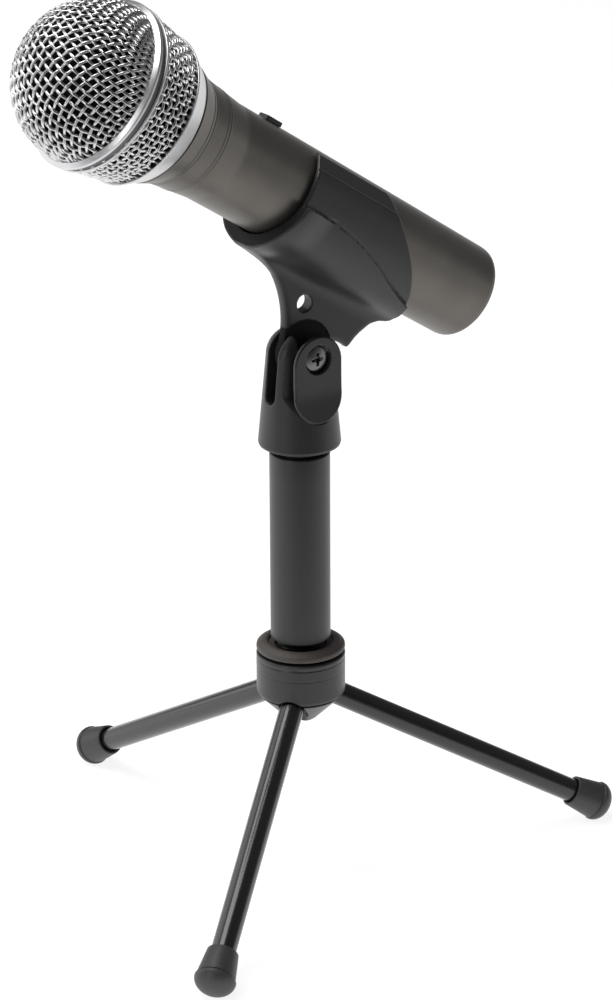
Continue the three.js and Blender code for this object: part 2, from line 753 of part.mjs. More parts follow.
function xlrInsert() {
  const body = turnedAlong(discProfile(HANDLE_BORE - GAP, XLR.rim, -53.5));
  const socket = turnedAlong(discProfile(XLR.radius, TAIL - 5, XLR.floor)).translate(0, 0, XLR.offset);
  const pocketLength = 2 * USB.depth;
  const usbPocket = block(pocketLength, USB.width, USB.height, -XLR.rim, 0, USB.up);
  const jackBore = turnedAlong(discProfile(JACK.radius, TAIL - 5, -60), COARSE);
  jackBore.translate(0, JACK.across, JACK.up);
  const keyway = block(20, 2, 2, -XLR.rim + 3, 0, XLR.offset + XLR.radius);
  const pinBores = pinPlaces().map(([across, up]) => (
    turnedAlong(discProfile(1.2 + GAP, XLR.floor - 3, -50), 16).translate(0, across, up)
  ));
  const insert = cut(body, socket, usbPocket, jackBore, keyway, ...pinBores);
  return part('mic_xlr_insert', insert, materials.darkPlastic);
}

// The three contacts sit on a circle, the middle one lowest.
function pinPlaces() {
  const circle = 3.5;
  return [150, 30, -90].map((angle) => [
    circle * Math.cos(angle * DEG),
    XLR.offset + circle * Math.sin(angle * DEG),
  ]);
}

function xlrPins() {
  const tip = -67.4;
  const profile = [[0, tip], [0.7, tip], [1.2, tip + 0.8], [1.2, -52], [0, -52]];
  return pinPlaces().map(([across, up], i) => (
    part(`mic_xlr_pin_${i + 1}`, turnedAlong(profile, 16).translate(0, across, up), materials.gold)
  ));
}

function usbSocket() {
  const length = USB.depth - 2 * GAP;
  const middle = -XLR.rim - USB.depth / 2;
  const outer = block(length, USB.width - 2 * GAP, USB.height - 2 * GAP, middle, 0, USB.up);
  const mouth = block(length, USB.width - 1.6, USB.height - 1.4, middle + 1, 0, USB.up);
  return part('mic_usb_socket', cut(outer, mouth), materials.zincSteel);
}

function headphoneJack() {
  const profile = [
    [0, -60.3 - 3],
    [1.75, -60.3 - 3],
    [1.75, XLR.rim + 0.3],
    [JACK.radius - GAP, XLR.rim + 0.3],
    [JACK.radius - GAP, -60.3],
    [0, -60.3],
  ];
  const jack = turnedAlong(profile, COARSE).translate(0, JACK.across, JACK.up);
  return part('mic_headphone_jack', jack, materials.zincSteel);
}

function setScrew() {
  const screw = turned(discProfile(1, -15.2, -13.4), 16).translate(30, 0, 0);
  return part('mic_set_screw', screw, materials.zincSteel);
}

// ---------------------------------------------------------------- assembly

const legs = group(...Object.keys(LEG_AZIMUTHS).map(leg));
const hub = group(hubBody(), hubBottomCap(), hubCapScrew());
const post = group(postStud(), lockWasher(), lockRing(), postTube(), postSpigot());
const socket = group(clipBase(), threadInsert(), pivotScrew(), pivotWasher(), pivotNut());

const microphone = group(
  micHandle(), micThreadCollar(), grilleBand(), grilleBasket(), ...grilleRings(), grilleDome(),
  foamLiner(), capsule(), shockMount(), switchPlate(), switchKnob(), switchBlock(), circuitBoard(),
  xlrInsert(), ...xlrPins(), usbSocket(), headphoneJack(), setScrew(),
);
const held = group(clipCradle(), microphone);
held.position.set(-AXIS_LEAD, 0, AXIS_RISE);
const tilted = group(held);
tilted.position.z = PIVOT_HEIGHT;
tilted.rotation.y = PITCH;

const stand = group(legs, hub, post, socket, tilted);
const reach = new THREE.Box3().setFromObject(stand, true);
const middle = reach.getCenter(new THREE.Vector3());
stand.position.set(-middle.x, -middle.y, 0);

export default stand;
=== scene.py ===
"""Looks for a folding three-legged desktop stand whose clip holds a handheld microphone."""

import json
import math

import bmesh
import bpy
import numpy as np
import openvdb
from mathutils import Matrix, Vector


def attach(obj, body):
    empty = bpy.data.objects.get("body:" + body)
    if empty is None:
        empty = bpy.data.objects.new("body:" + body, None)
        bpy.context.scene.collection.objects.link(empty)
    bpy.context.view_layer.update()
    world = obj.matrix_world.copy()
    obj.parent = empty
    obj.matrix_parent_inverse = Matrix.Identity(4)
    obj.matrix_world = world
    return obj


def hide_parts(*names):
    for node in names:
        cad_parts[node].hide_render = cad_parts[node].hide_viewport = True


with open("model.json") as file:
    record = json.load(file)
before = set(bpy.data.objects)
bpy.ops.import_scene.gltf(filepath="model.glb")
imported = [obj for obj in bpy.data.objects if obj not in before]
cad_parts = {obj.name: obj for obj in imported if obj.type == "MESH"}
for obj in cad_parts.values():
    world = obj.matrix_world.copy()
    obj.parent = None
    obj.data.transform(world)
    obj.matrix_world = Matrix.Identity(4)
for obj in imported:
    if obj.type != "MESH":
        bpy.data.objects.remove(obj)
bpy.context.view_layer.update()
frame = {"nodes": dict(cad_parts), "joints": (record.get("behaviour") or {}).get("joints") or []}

MM = 0.001
JOINTS = {joint["name"]: joint for joint in frame["joints"]}


# ---------------------------------------------------------------- local frames

def frame_matrix(x_axis, y_axis, z_axis, origin):
    """A 4x4 matrix from three unit axes and an origin in metres."""
    columns = [Vector(axis).to_4d() for axis in (x_axis, y_axis, z_axis)]
    for column in columns:
        column[3] = 0.0
    matrix = Matrix(columns + [Vector((*origin, 1.0))])
    return matrix.transposed()


POST_X, POST_Y, _ = JOINTS["post_turn"]["pos_m"]
POST = Matrix.Translation((POST_X, POST_Y, 0.0))

# Round the tilt pivot, and along the microphone: x to its head, y to the near side, z up.
PIVOT_POINT = Vector(JOINTS["clip_tilt"]["pos_m"])
TO_HEAD = Vector(JOINTS["mic_slide"]["axis"]).normalized()
TO_NEAR = Vector((0.0, -1.0, 0.0))
TO_UP = TO_HEAD.cross(TO_NEAR)
AXIS_LEAD = 27.0
AXIS_RISE = 40.6
DATUM = PIVOT_POINT + (AXIS_LEAD * TO_HEAD + AXIS_RISE * TO_UP) * MM
MICROPHONE = frame_matrix(TO_HEAD, TO_NEAR, TO_UP, DATUM)
PIVOT = Matrix.Translation(PIVOT_POINT)

LEG_DROP = math.radians(29.4)


def leg_frame(side):
    """x out along the spread leg from its pin, y along the pin."""
    joint = JOINTS[f"leg_{side}_fold"]
    pin = Vector(joint["axis"]).normalized()
    outward = pin.cross((0.0, 0.0, 1.0))
    along = outward * math.cos(LEG_DROP) - Vector((0.0, 0.0, math.sin(LEG_DROP)))
    return frame_matrix(along, pin, along.cross(pin), joint["pos_m"])


# ---------------------------------------------------------------- mesh helpers

def in_row_frame(points, matrix):
    """Metres in the shared frame from millimetre points in a local frame."""
    local = np.asarray(points, float) * MM
    turn = np.array(matrix)
    return local @ turn[:3, :3].T + turn[:3, 3]


def keep_place(mesh, points):
    """Stores local coordinates in metres, for materials that follow a turned part's own axis."""
    place = mesh.attributes.new("place", "FLOAT_VECTOR", "POINT")
    place.data.foreach_set("vector", (np.asarray(points, float) * MM).ravel())


def new_object(name, points, faces, matrix, material):
    """A mesh object from millimetre points in a local frame."""
    mesh = bpy.data.meshes.new(name)
    mesh.from_pydata(in_row_frame(points, matrix).tolist(), [], faces)
    keep_place(mesh, points)
    mesh.materials.append(material)
    built = bmesh.new()
    built.from_mesh(mesh)
    bmesh.ops.recalc_face_normals(built, faces=built.faces)
    built.to_mesh(mesh)
    built.free()
    mesh.shade_smooth()
    item = bpy.data.objects.new(name, mesh)
    bpy.context.scene.collection.objects.link(item)
    return item


def settle(item, body, slot, *nodes):
    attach(item, body)
    if nodes:
        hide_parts(*nodes)
    return item


def rounded_profile(corners, steps=6):
    """An open polyline whose corners (a, b, radius) are replaced by arcs."""
    corners = [tuple(corner) + (0.0,) * (3 - len(corner)) for corner in corners]
    points = []
    for i, (a, b, radius) in enumerate(corners):
        here = np.array([a, b])
        if radius <= 0 or i in (0, len(corners) - 1):
            points.append(here)
            continue
        to_last = np.array(corners[i - 1][:2]) - here
        to_next = np.array(corners[i + 1][:2]) - here
        room = 0.49 * min(np.linalg.norm(to_last), np.linalg.norm(to_next))
        to_last /= np.linalg.norm(to_last)
        to_next /= np.linalg.norm(to_next)
        half = math.acos(float(np.clip(to_last @ to_next, -1, 1))) / 2
        if half > math.radians(89):
            points.append(here)
            continue
        radius = min(radius, room * math.tan(half))
        reach = radius / math.tan(half)
        middle = to_last + to_next
        centre = here + middle / np.linalg.norm(middle) * radius / math.sin(half)
        start, end = here + to_last * reach - centre, here + to_next * reach - centre
        angle = math.atan2(start[1], start[0])
        turn = math.atan2(end[1], end[0]) - angle
        turn = (turn + math.pi) % (2 * math.pi) - math.pi
        for k in range(steps + 1):
            at = angle + turn * k / steps
            points.append(centre + radius * np.array([math.cos(at), math.sin(at)]))
    return points


def turned(profile, segments=96, along="z", shape=None):
    """Points and faces of a solid of revolution from (radius, height) points."""
    rings, points, faces = [], [], []
    angles = np.arange(segments) * 2 * math.pi / segments
    for radius, height in profile:
        if radius < 1e-6:
            rings.append([len(points)])
            points.append((0.0, 0.0, height))
            continue
        radii = np.full(segments, radius)
        heights = np.full(segments, height)
        if shape:
            radii, heights = shape(radii, heights, angles)
        rings.append(list(range(len(points), len(points) + segments)))
        points.extend(zip(radii * np.cos(angles), radii * np.sin(angles), heights))
    for lower, upper in zip(rings, rings[1:]):
        for k in range(segments):
            n = (k + 1) % segments
            if len(lower) == 1 and len(upper) == 1:
                continue
            if len(lower) == 1:
                faces.append((lower[0], upper[n], upper[k]))
            elif len(upper) == 1:
                faces.append((lower[k], lower[n], upper[0]))
            else:
                faces.append((lower[k], lower[n], upper[n], upper[k]))
    points = np.array(points)
    if len(rings[0]) > 1 and np.allclose(profile[0], profile[-1]):
        first, last = rings[0], rings[-1]
        swap = dict(zip(last, first))
        faces = [tuple(swap.get(v, v) for v in face) for face in faces]
        points = points[:last[0]]
    if along == "x":
        points = points[:, [2, 1, 0]]
    return points, faces


def turned_object(name, profile, matrix, material, segments=96, along="z", shape=None, sharp=32):
    points, faces = turned(profile, segments, along, shape)
    item = new_object(name, points, faces, matrix, material)
    item.data.set_sharp_from_angle(angle=math.radians(sharp))
    return item


# ---------------------------------------------------------------- solids as distance fields

def least(a, b, blend):
    """Union of two distances with a fillet about blend wide."""
    mix = np.clip(0.5 + 0.5 * (b - a) / blend, 0, 1)
    return b * (1 - mix) + a * mix - blend * mix * (1 - mix)


def most(a, b, blend):
    """Intersection of two distances with a rounded edge."""
    return -least(-a, -b, blend)


def polygon_distance(x, y, corners):
    """Signed distance to a closed outline, negative inside."""
    corners = np.asarray(corners, float)
    nearest = np.full(x.shape, 1e18)
    inside = np.zeros(x.shape, bool)
    for (ax, ay), (bx, by) in zip(corners, np.roll(corners, -1, axis=0)):
        ex, ey = bx - ax, by - ay
        length = ex * ex + ey * ey
        if length < 1e-12:
            continue
        share = np.clip(((x - ax) * ex + (y - ay) * ey) / length, 0, 1)
        dx, dy = x - ax - share * ex, y - ay - share * ey
        nearest = np.minimum(nearest, dx * dx + dy * dy)
        if ay != by:
            crosses = (ay > y) != (by > y)
            inside ^= crosses & (x < ax + (y - ay) * ex / ey)
    return np.where(inside, -1.0, 1.0) * np.sqrt(nearest)


def capsule_distance(x, y, ax, ay, bx, by, radius):
    """Signed distance in the plane to a stadium from a to b."""
    ex, ey = bx - ax, by - ay
    share = np.clip(((x - ax) * ex + (y - ay) * ey) / (ex * ex + ey * ey), 0, 1)
    return np.hypot(x - ax - share * ex, y - ay - share * ey) - radius


def bezier(start, first, second, end, steps=14):
    share = np.linspace(0, 1, steps + 1)[1:, None]
    start, first, second, end = (np.array(point, float) for point in (start, first, second, end))
    rest = 1 - share
    return rest**3 * start + 3 * rest**2 * share * first + 3 * rest * share**2 * second + share**3 * end


def solid_mesh(field, low, high, voxel):
    """Points, quads and normals of the surface where field(x, y, z) is zero, in millimetres."""
    low, high = np.array(low, float), np.array(high, float)
    block = 4
    counts = np.ceil((high - low) / (voxel * block)).astype(int)
    coarse = [low[i] + (np.arange(counts[i]) + 0.5) * voxel * block - voxel / 2 for i in range(3)]
    centres = np.meshgrid(*coarse, indexing="ij")
    near = field(*(axis.ravel() for axis in centres)).reshape(counts)
    reach = voxel * block * 1.35
    dense = np.repeat(np.repeat(np.repeat(near, block, 0), block, 1), block, 2).astype(np.float32)
    blocks = np.argwhere(np.abs(near) < reach)
    offsets = np.stack(np.meshgrid(*[np.arange(block)] * 3, indexing="ij"), -1).reshape(-1, 3)
    cells = (blocks[:, None, :] * block + offsets[None]).reshape(-1, 3)
    at = low + cells * voxel
    dense[cells[:, 0], cells[:, 1], cells[:, 2]] = field(at[:, 0], at[:, 1], at[:, 2])
    grid = openvdb.FloatGrid(reach)
    grid.copyFromArray(dense)
    points, quads = grid.convertToQuads(isovalue=0.0)
    points = np.asarray(points, float) * voxel + low
    quads = np.asarray(quads)
    step = 0.02
    corners = np.array([(1, -1, -1), (-1, -1, 1), (-1, 1, -1), (1, 1, 1)], float)
    for turn in range(4):
        slope = np.zeros_like(points)
        for corner in corners:
            slope += corner * field(*(points + corner * step).T)[:, None]
        slope /= 4 * step
        size = np.maximum(np.linalg.norm(slope, axis=1, keepdims=True), 1e-6)
        if turn < 3:
            off = np.clip(field(*points.T)[:, None] / size, -voxel, voxel)
            points -= off * slope / size
    return points, quads, slope / size


def solid_object(name, field, low, high, voxel, matrix, material, shade=None):
    """A mesh object of a distance field; shade gives a 0 to 1 attribute of painted shade from its points and
    normals.
    """
    points, quads, normals = solid_mesh(field, low, high, voxel)
    a, b, c = (points[quads[:, i]] for i in range(3))
    facing = np.einsum("ij,ij->i", np.cross(b - a, c - b), normals[quads[:, 0]])
    if np.median(facing) < 0:
        quads = quads[:, ::-1]
    mesh = bpy.data.meshes.new(name)
    mesh.from_pydata(in_row_frame(points, matrix).tolist(), [], quads.tolist())
    # the shade attribute marks where shadow is painted into the material's colour
    if shade:
        dark = mesh.attributes.new("shade", "FLOAT", "POINT")
        dark.data.foreach_set("value", shade(points, normals))
    mesh.materials.append(material)
    mesh.shade_smooth()
    normals = normals @ np.array(matrix)[:3, :3].T
    mesh.normals_split_custom_set_from_vertices(normals.tolist())
    item = bpy.data.objects.new(name, mesh)
    bpy.context.scene.collection.objects.link(item)
    return item


# ---------------------------------------------------------------- materials

class Shader:
    """A Principled material and short ways to add nodes to it."""

    def __init__(self, name, metallic=0.0, follow=False, **sockets):
        self.material = bpy.data.materials.new(name)
        self.material.use_nodes = True
        self.tree = self.material.node_tree
        self.surface = self.tree.nodes["Principled BSDF"]
        self.surface.inputs["Metallic"].default_value = metallic
        for label, value in sockets.items():
            self.surface.inputs[label.replace("_", " ")].default_value = value
        if follow:
            self.place = self.add("ShaderNodeAttribute", attribute_name="place").outputs["Vector"]
        else:
            self.place = self.add("ShaderNodeTexCoord").outputs["Object"]

    def add(self, kind, **values):
        node = self.tree.nodes.new(kind)
        for key, value in values.items():
            setattr(node, key, value)
        return node

    def link(self, source, target):
        self.tree.links.new(source, target)

    def scaled(self, scale):
        """Object coordinates times a vector, so that scales are cycles per metre."""
        node = self.add("ShaderNodeMapping")
        node.inputs["Scale"].default_value = scale
        self.link(self.place, node.inputs["Vector"])
        return node.outputs["Vector"]

    def noise(self, scale, detail=2.0, rough=0.5, stretch=None):
        node = self.add("ShaderNodeTexNoise")
        node.inputs["Scale"].default_value = scale if stretch is None else 1.0
        node.inputs["Detail"].default_value = detail
        node.inputs["Roughness"].default_value = rough
        vector = self.place
        if stretch is not None:
            vector = self.scaled([scale * axis for axis in stretch])
        self.link(vector, node.inputs["Vector"])
        return node.outputs["Fac"]

    def ramp(self, source, stops):
        """Maps a value to colours or greys between positions."""
        node = self.add("ShaderNodeValToRGB")
        elements = node.color_ramp.elements
        while len(elements) < len(stops):
            elements.new(0.5)
        for element, (position, colour) in zip(elements, stops):
            element.position = position
            element.color = (colour,) * 3 + (1,) if isinstance(colour, float) else (*colour, 1)
        self.link(source, node.inputs["Fac"])
        return node.outputs["Color"]

    def drift_tone(self, source, colour, vary):
        """A colour that drifts by a share of itself either way."""
        low, high = scale_colour(colour, 1 - vary), scale_colour(colour, 1 + vary)
        return self.ramp(source, [(0.3, low), (0.7, high)])

    def maths(self, operation, a, b):
        node = self.add("ShaderNodeMath", operation=operation)
        for socket, value in zip(node.inputs, (a, b)):
            if isinstance(value, (int, float)):
                socket.default_value = value
            else:
                self.link(value, socket)
        return node.outputs[0]

    def mix(self, share, a, b, blend="MIX"):
        node = self.add("ShaderNodeMix", data_type="RGBA", blend_type=blend)
        for socket, value in zip((node.inputs[0], node.inputs[6], node.inputs[7]), (share, a, b)):
            if isinstance(value, (int, float)):
                socket.default_value = value
            elif isinstance(value, tuple):
                socket.default_value = (*value, 1)
            else:
                self.link(value, socket)
        return node.outputs[2]

    def colour(self, source):
        self.link(source, self.surface.inputs["Base Color"])

    def roughness(self, source):
        self.link(source, self.surface.inputs["Roughness"])

    def bump(self, height, strength, distance):
        """distance is the height of the relief in millimetres."""
        node = self.add("ShaderNodeBump")
        node.inputs["Strength"].default_value = strength
        node.inputs["Distance"].default_value = distance * MM
        self.link(height, node.inputs["Height"])
        self.link(node.outputs["Normal"], self.surface.inputs["Normal"])


def scale_colour(colour, factor):
    return tuple(channel * factor for channel in colour)


def moulded(name, colour, rough, grain=0.35, relief=0.02, vary=0.12, wear_and_sheen=0.0, painted_shade=False, **sockets):
    """Moulded plastic or rubber: eroded-tool grain, faint tone drift, edges painted lighter as rubbed wear
    with a painted sheen.

    When painted shade is asked for, the mesh's own "shade" attribute says where shadow is painted: there the
    plastic is painted dark and matt.
    """
    shader = Shader(name, **sockets)
    grit = shader.noise(1000 / grain, 3.0, 0.6)
    drift = shader.noise(90, 2.0)
    tone = shader.drift_tone(drift, colour, vary)
    speck = shader.ramp(grit, [(0.35, 0.82), (0.65, 1.14)])
    tinted = shader.mix(1.0, tone, speck, "MULTIPLY")
    if wear_and_sheen:
        # rubbed wear with a painted sheen: convex edges are painted lighter, towards 2.2 times the base
        # colour
        point = shader.add("ShaderNodeNewGeometry").outputs["Pointiness"]
        edge = shader.ramp(point, [(0.515, 0.0), (0.58, 1.0)])
        edge = shader.maths("MULTIPLY", edge, wear_and_sheen)
        tinted = shader.mix(edge, tinted, scale_colour(colour, 2.2))
    matt = shader.ramp(grit, [(0.3, rough - 0.06), (0.7, rough + 0.06)])
    if painted_shade:
        # painted shade: the shade attribute blends the colour down to 5% of itself and the roughness up to
        # 0.9
        share = shader.add("ShaderNodeAttribute", attribute_name="shade").outputs["Fac"]
        tinted = shader.mix(share, tinted, scale_colour(colour, 0.05))
        matt = shader.mix(share, matt, (0.9, 0.9, 0.9))
    shader.colour(tinted)
    shader.roughness(matt)
    shader.bump(grit, 0.6, relief)
    return shader.material


def painted(name, colour, rough, relief=0.006, wave=1.3, flake=0.0, metallic=0.0, **sockets):
    """Sprayed or powder coat: orange peel, faint drift, optional metal flake."""
    shader = Shader(name, metallic=metallic, **sockets)
    peel = shader.noise(1000 / wave, 2.0, 0.55)
    fine = shader.noise(1000 / 0.16, 1.0)
    drift = shader.noise(60, 2.0)
    tone = shader.drift_tone(drift, colour, 0.07)
    spark = shader.ramp(fine, [(0.38, 1.0 - flake), (0.66, 1.0 + flake)])
    shader.colour(shader.mix(1.0, tone, spark, "MULTIPLY"))
    shader.roughness(shader.ramp(fine, [(0.3, rough - 0.05), (0.7, rough + 0.05)]))
    shader.bump(shader.maths("ADD", peel, shader.maths("MULTIPLY", fine, 0.25)), 0.5, relief)
    return shader.material


ALONG_PART = (1.0, 0.03, 0.03)     # lathe lines round the local x axis
ALONG_HEIGHT = (0.3, 0.3, 1.0)
ALONG_SCREW = (0.5, 1.0, 0.5)


def turned_metal(name, colour, rough, lines=0.12, relief=0.002, stretch=ALONG_PART, vary=0.06, follow=False):
    """Metal with fine lathe lines; stretch says along which axis they change fastest."""
    shader = Shader(name, metallic=1.0, follow=follow)
    line = shader.noise(1000 / lines, 2.0, 0.7, stretch)
    drift = shader.noise(120, 3.0)
    tone = shader.drift_tone(drift, colour, vary)
    mark = shader.ramp(line, [(0.3, 0.9), (0.7, 1.06)])
    shader.colour(shader.mix(1.0, tone, mark, "MULTIPLY"))
    shader.roughness(shader.ramp(line, [(0.3, rough - 0.07), (0.7, rough + 0.07)]))
    shader.bump(line, 0.4, relief)
    return shader.material


HUB_PLASTIC = moulded("hub plastic", (0.036, 0.035, 0.037), 0.34, 0.5, 0.006, 0.08)
RING_RUBBER = moulded("ring rubber", (0.090, 0.078, 0.070), 0.55, 0.4, 0.02, 0.12)
CLIP_PLASTIC = moulded("clip plastic", (0.025, 0.025, 0.027), 0.40, 0.3, 0.010, 0.08, 0.2)
# the clip plastic again, with shadow painted dark where the cradle's shade attribute says
CRADLE_PLASTIC_PAINTED_SHADE = moulded("cradle plastic", (0.025, 0.025, 0.027), 0.40, 0.3, 0.010, 0.08, 0.2, True)
FOOT_RUBBER = moulded("foot rubber", (0.055, 0.054, 0.055), 0.46, 0.5, 0.015, 0.12)
MOUNT_RUBBER = moulded("mount rubber", (0.03, 0.03, 0.03), 0.7, 0.5, 0.03)
DARK_PLASTIC = moulded("dark plastic", (0.014, 0.014, 0.015), 0.4, 0.3, 0.008)
FOAM = moulded("foam", (0.006, 0.006, 0.006), 0.95, 0.9, 0.25, 0.3)
BOARD = moulded("board", (0.02, 0.11, 0.045), 0.45, 1.5, 0.01)
POST_PAINT = painted("post paint", (0.034, 0.033, 0.034), 0.38, 0.008, 0.8, 0.12)
LEG_PAINT = painted(
    "leg paint", (0.009, 0.009, 0.010), 0.24, 0.0015, 1.6, 0.05, Coat_Weight=0.5, Coat_Roughness=0.16,
)
HANDLE_PAINT = painted("handle paint", (0.155, 0.145, 0.132), 0.38, 0.003, 1.0, 0.10, 0.85)
SATIN_SILVER = turned_metal("satin silver", (0.70, 0.70, 0.71), 0.34, follow=True)
# the recessed channel's metal: its own grey, darkened further as painted shade for the recess
CHANNEL_GREY_AND_SHADE = turned_metal("channel grey", (0.17, 0.17, 0.175), 0.45, follow=True)
ZINC = turned_metal("zinc", (0.55, 0.56, 0.58), 0.30, stretch=ALONG_HEIGHT)
BLACK_STEEL = turned_metal("black oxide steel", (0.035, 0.034, 0.034), 0.42, stretch=ALONG_HEIGHT)
BRASS = turned_metal("brass", (0.62, 0.44, 0.20), 0.32, stretch=ALONG_HEIGHT)
GOLD = turned_metal("gold", (0.90, 0.66, 0.28), 0.22, lines=0.3)
SCREW_STEEL = turned_metal("screw steel", (0.17, 0.17, 0.175), 0.28, stretch=ALONG_SCREW)
WIRE = turned_metal(
    "woven wire", (0.74, 0.74, 0.75), 0.22, lines=0.8, relief=0.02, stretch=(1, 1, 1), vary=0.1,
)

# ---------------------------------------------------------------- hub and legs

HUB_RADIUS = 14.1
PIN_HEIGHT = JOINTS["leg_right_fold"]["pos_m"][2] / MM
PIN_REACH = 8.0
LEG_RADIUS = 3.85
GAP = 0.5
SIDES = ("right", "left", "front")


def swing_room(x, y, z):
    """Distance to the room that the three legs swing through, round the post axis."""
    whole = np.full(x.shape, 1e9)
    for side in SIDES:
        pin = Vector(JOINTS[f"leg_{side}_fold"]["axis"]).normalized()
        outward = pin.cross((0.0, 0.0, 1.0))
        along = x * outward.x + y * outward.y - PIN_REACH
        across = x * pin.x + y * pin.y
        down = PIN_HEIGHT - z
        angle = np.arctan2(down, along)
        ray = np.where(angle < LEG_DROP, LEG_DROP, math.pi / 2)
        ray = np.where(angle < LEG_DROP - math.pi / 2 - 0.4, math.pi / 2, ray)
        share = np.maximum(along * np.cos(ray) + down * np.sin(ray), 0)
        off = np.hypot(along - share * np.cos(ray), down - share * np.sin(ray))
        off = np.where((angle >= LEG_DROP) & (angle <= math.pi / 2), 0, off)
        whole = np.minimum(whole, np.hypot(off, across) - LEG_RADIUS - GAP)
    return whole


def build_hub():
    grooves = [66.2, 69.9]
    outline = [(0, 57.7), (HUB_RADIUS - 0.9, 57.7), (HUB_RADIUS - 0.25, 57.95), (HUB_RADIUS, 58.7)]
    for height, depth in zip(grooves, (0.07, 0.13)):
        outline += [(HUB_RADIUS, height - 0.45), (HUB_RADIUS - depth, height - 0.05)]
        outline += [(HUB_RADIUS - depth, height + 0.05), (HUB_RADIUS, height + 0.45)]
    outline += [(HUB_RADIUS, 71.2), (HUB_RADIUS - 0.4, 71.6), (0, 71.6)]

    def body(x, y, z):
        round_part = polygon_distance(np.hypot(x, y), z, outline + [(-5, 71.6), (-5, 57.7)])
        bore = np.maximum(np.hypot(x, y) - 8.15, 63.2 - z)
        return most(most(round_part, -swing_room(x, y, z), 0.5), -bore, 0.2)

    reach = HUB_RADIUS + 1
    low, high = (-reach, -reach, 56.5), (reach, reach, 72.5)
    hub = solid_object("hub_shell", body, low, high, 0.24, POST, HUB_PLASTIC)
    settle(hub, "hub", "hub_plastic", "hub_body")

    cone = [(-5, 48.7), (4.2, 48.7), (4.9, 48.85), (5.4, 49.3)]
    cone += [(13.0, 56.8), (13.1, 57.1), (12.9, 57.35), (-5, 57.35)]

    def cap(x, y, z):
        round_part = polygon_distance(np.hypot(x, y), z, cone)
        well = np.maximum(np.hypot(x, y) - 3.0, z - 51.1)
        return most(most(round_part, -swing_room(x, y, z), 0.4), -well, 0.25)

    low, high = (-reach, -reach, 47.5), (reach, reach, 58.5)
    lower = solid_object("hub_cone", cap, low, high, 0.26, POST, HUB_PLASTIC)
    settle(lower, "hub", "hub_plastic", "hub_bottom_cap")


def thread_shape(pitch, depth, start, end):
    """A helical ridge for turned(), fading out near both ends."""
    def shape(radii, heights, angles):
        phase = (heights / pitch - angles / (2 * math.pi)) % 1.0
        ridge = np.abs(2 * phase - 1)
        fade = np.clip((heights - start) / pitch, 0, 1) * np.clip((end - heights) / pitch, 0, 1)
        fade = fade * (radii > 6)
        return radii - depth * ridge * fade, heights
    return shape


def build_post():
    levels = np.arange(64.5, 91.2, 0.235)
    stud = [(0, 63.5), (7.0, 63.5), (7.85, 64.35)] + [(7.85, level) for level in levels]
    stud += [(7.0, 92.0), (0, 92.0)]
    thread = thread_shape(0.94, 0.55, 64.5, 91)
    item = turned_object("stud", stud, POST, BLACK_STEEL, 72, shape=thread, sharp=60)
    settle(item, "hub", "zinc_steel", "post_stud")

    washer = rounded_profile([(8.2, 71.8), (12.3, 71.8, 0.2), (12.3, 72.75, 0.2), (8.2, 72.75), (8.2, 71.8)])
    settle(turned_object("washer", washer, POST, DARK_PLASTIC), "hub", "dark_plastic", "lock_washer")

    ring = rounded_profile([
        (8.2, 72.95), (12.5, 72.95, 0.1), (12.9, 72.7, 0.1), (HUB_RADIUS - 0.15, 72.65, 0.3),
        (HUB_RADIUS, 73.2, 0.5), (HUB_RADIUS - 0.1, 74.2, 0.9), (12.3, 75.35, 1.5), (11.2, 75.6, 0.6),
        (10.4, 75.2, 0.3), (10.2, 74.3, 0.2), (8.2, 74.3), (8.2, 72.95),
    ], 8)
    settle(turned_object("jam_ring", ring, POST, RING_RUBBER), "lock_ring", "ring_rubber", "lock_ring")

    tube = rounded_profile([
        (8.15, 76.7), (9.5, 76.7, 0.45), (9.5, 90.0), (9.5, 130.0), (9.5, 139.1, 0.5), (8.15, 139.1),
        (8.15, 76.7),
    ])
    settle(turned_object("tube", tube, POST, POST_PAINT, 128), "post", "post_paint", "post_tube")


def build_leg(side):
    matrix = leg_frame(side)
    body = f"leg_{side}"
    length = 91.1 / math.cos(LEG_DROP)
    ball = [(LEG_RADIUS * math.cos(a), LEG_RADIUS * math.sin(a)) for a in np.linspace(-math.pi / 2, 0, 9)]
    rod = [(max(radius, 0), along) for radius, along in ball]
    rod += rounded_profile([(LEG_RADIUS, 1.0), (LEG_RADIUS, length + 0.3, 0.5), (0, length + 0.3)])
    item = turned_object(f"rod_{side}", rod, matrix, LEG_PAINT, 48, along="x")
    settle(item, body, "leg_steel", f"leg_rod_{side}")

    mouth = length - 8.6
    widest = length + 0.9
    foot = rounded_profile([
        (0, length + 0.6), (4.05, length + 0.6), (4.05, mouth + 0.4, 0.3), (4.3, mouth, 0.15),
        (4.95, mouth, 0.3), (6.1, widest - 0.6, 0.1), (5.85, widest - 0.35, 0.06),
        (6.25, widest - 0.15, 0.12), (6.5, widest + 0.1, 0.3),
    ])
    for a in np.linspace(0, math.pi / 2, 17)[1:]:
        foot.append((6.5 * max(math.cos(a), 0) ** 0.95, widest + 0.1 + 4.7 * math.sin(a)))
    points, faces = turned(foot, 72, "x")
    points = in_row_frame(points, matrix) / MM
    points[:, 2] = np.maximum(points[:, 2], 0)
    item = new_object(f"foot_{side}", points, faces, Matrix.Identity(4), FOOT_RUBBER)
    item.data.set_sharp_from_angle(angle=math.radians(50))
    settle(item, body, "foot_rubber", f"leg_foot_{side}")


# ---------------------------------------------------------------- clip base

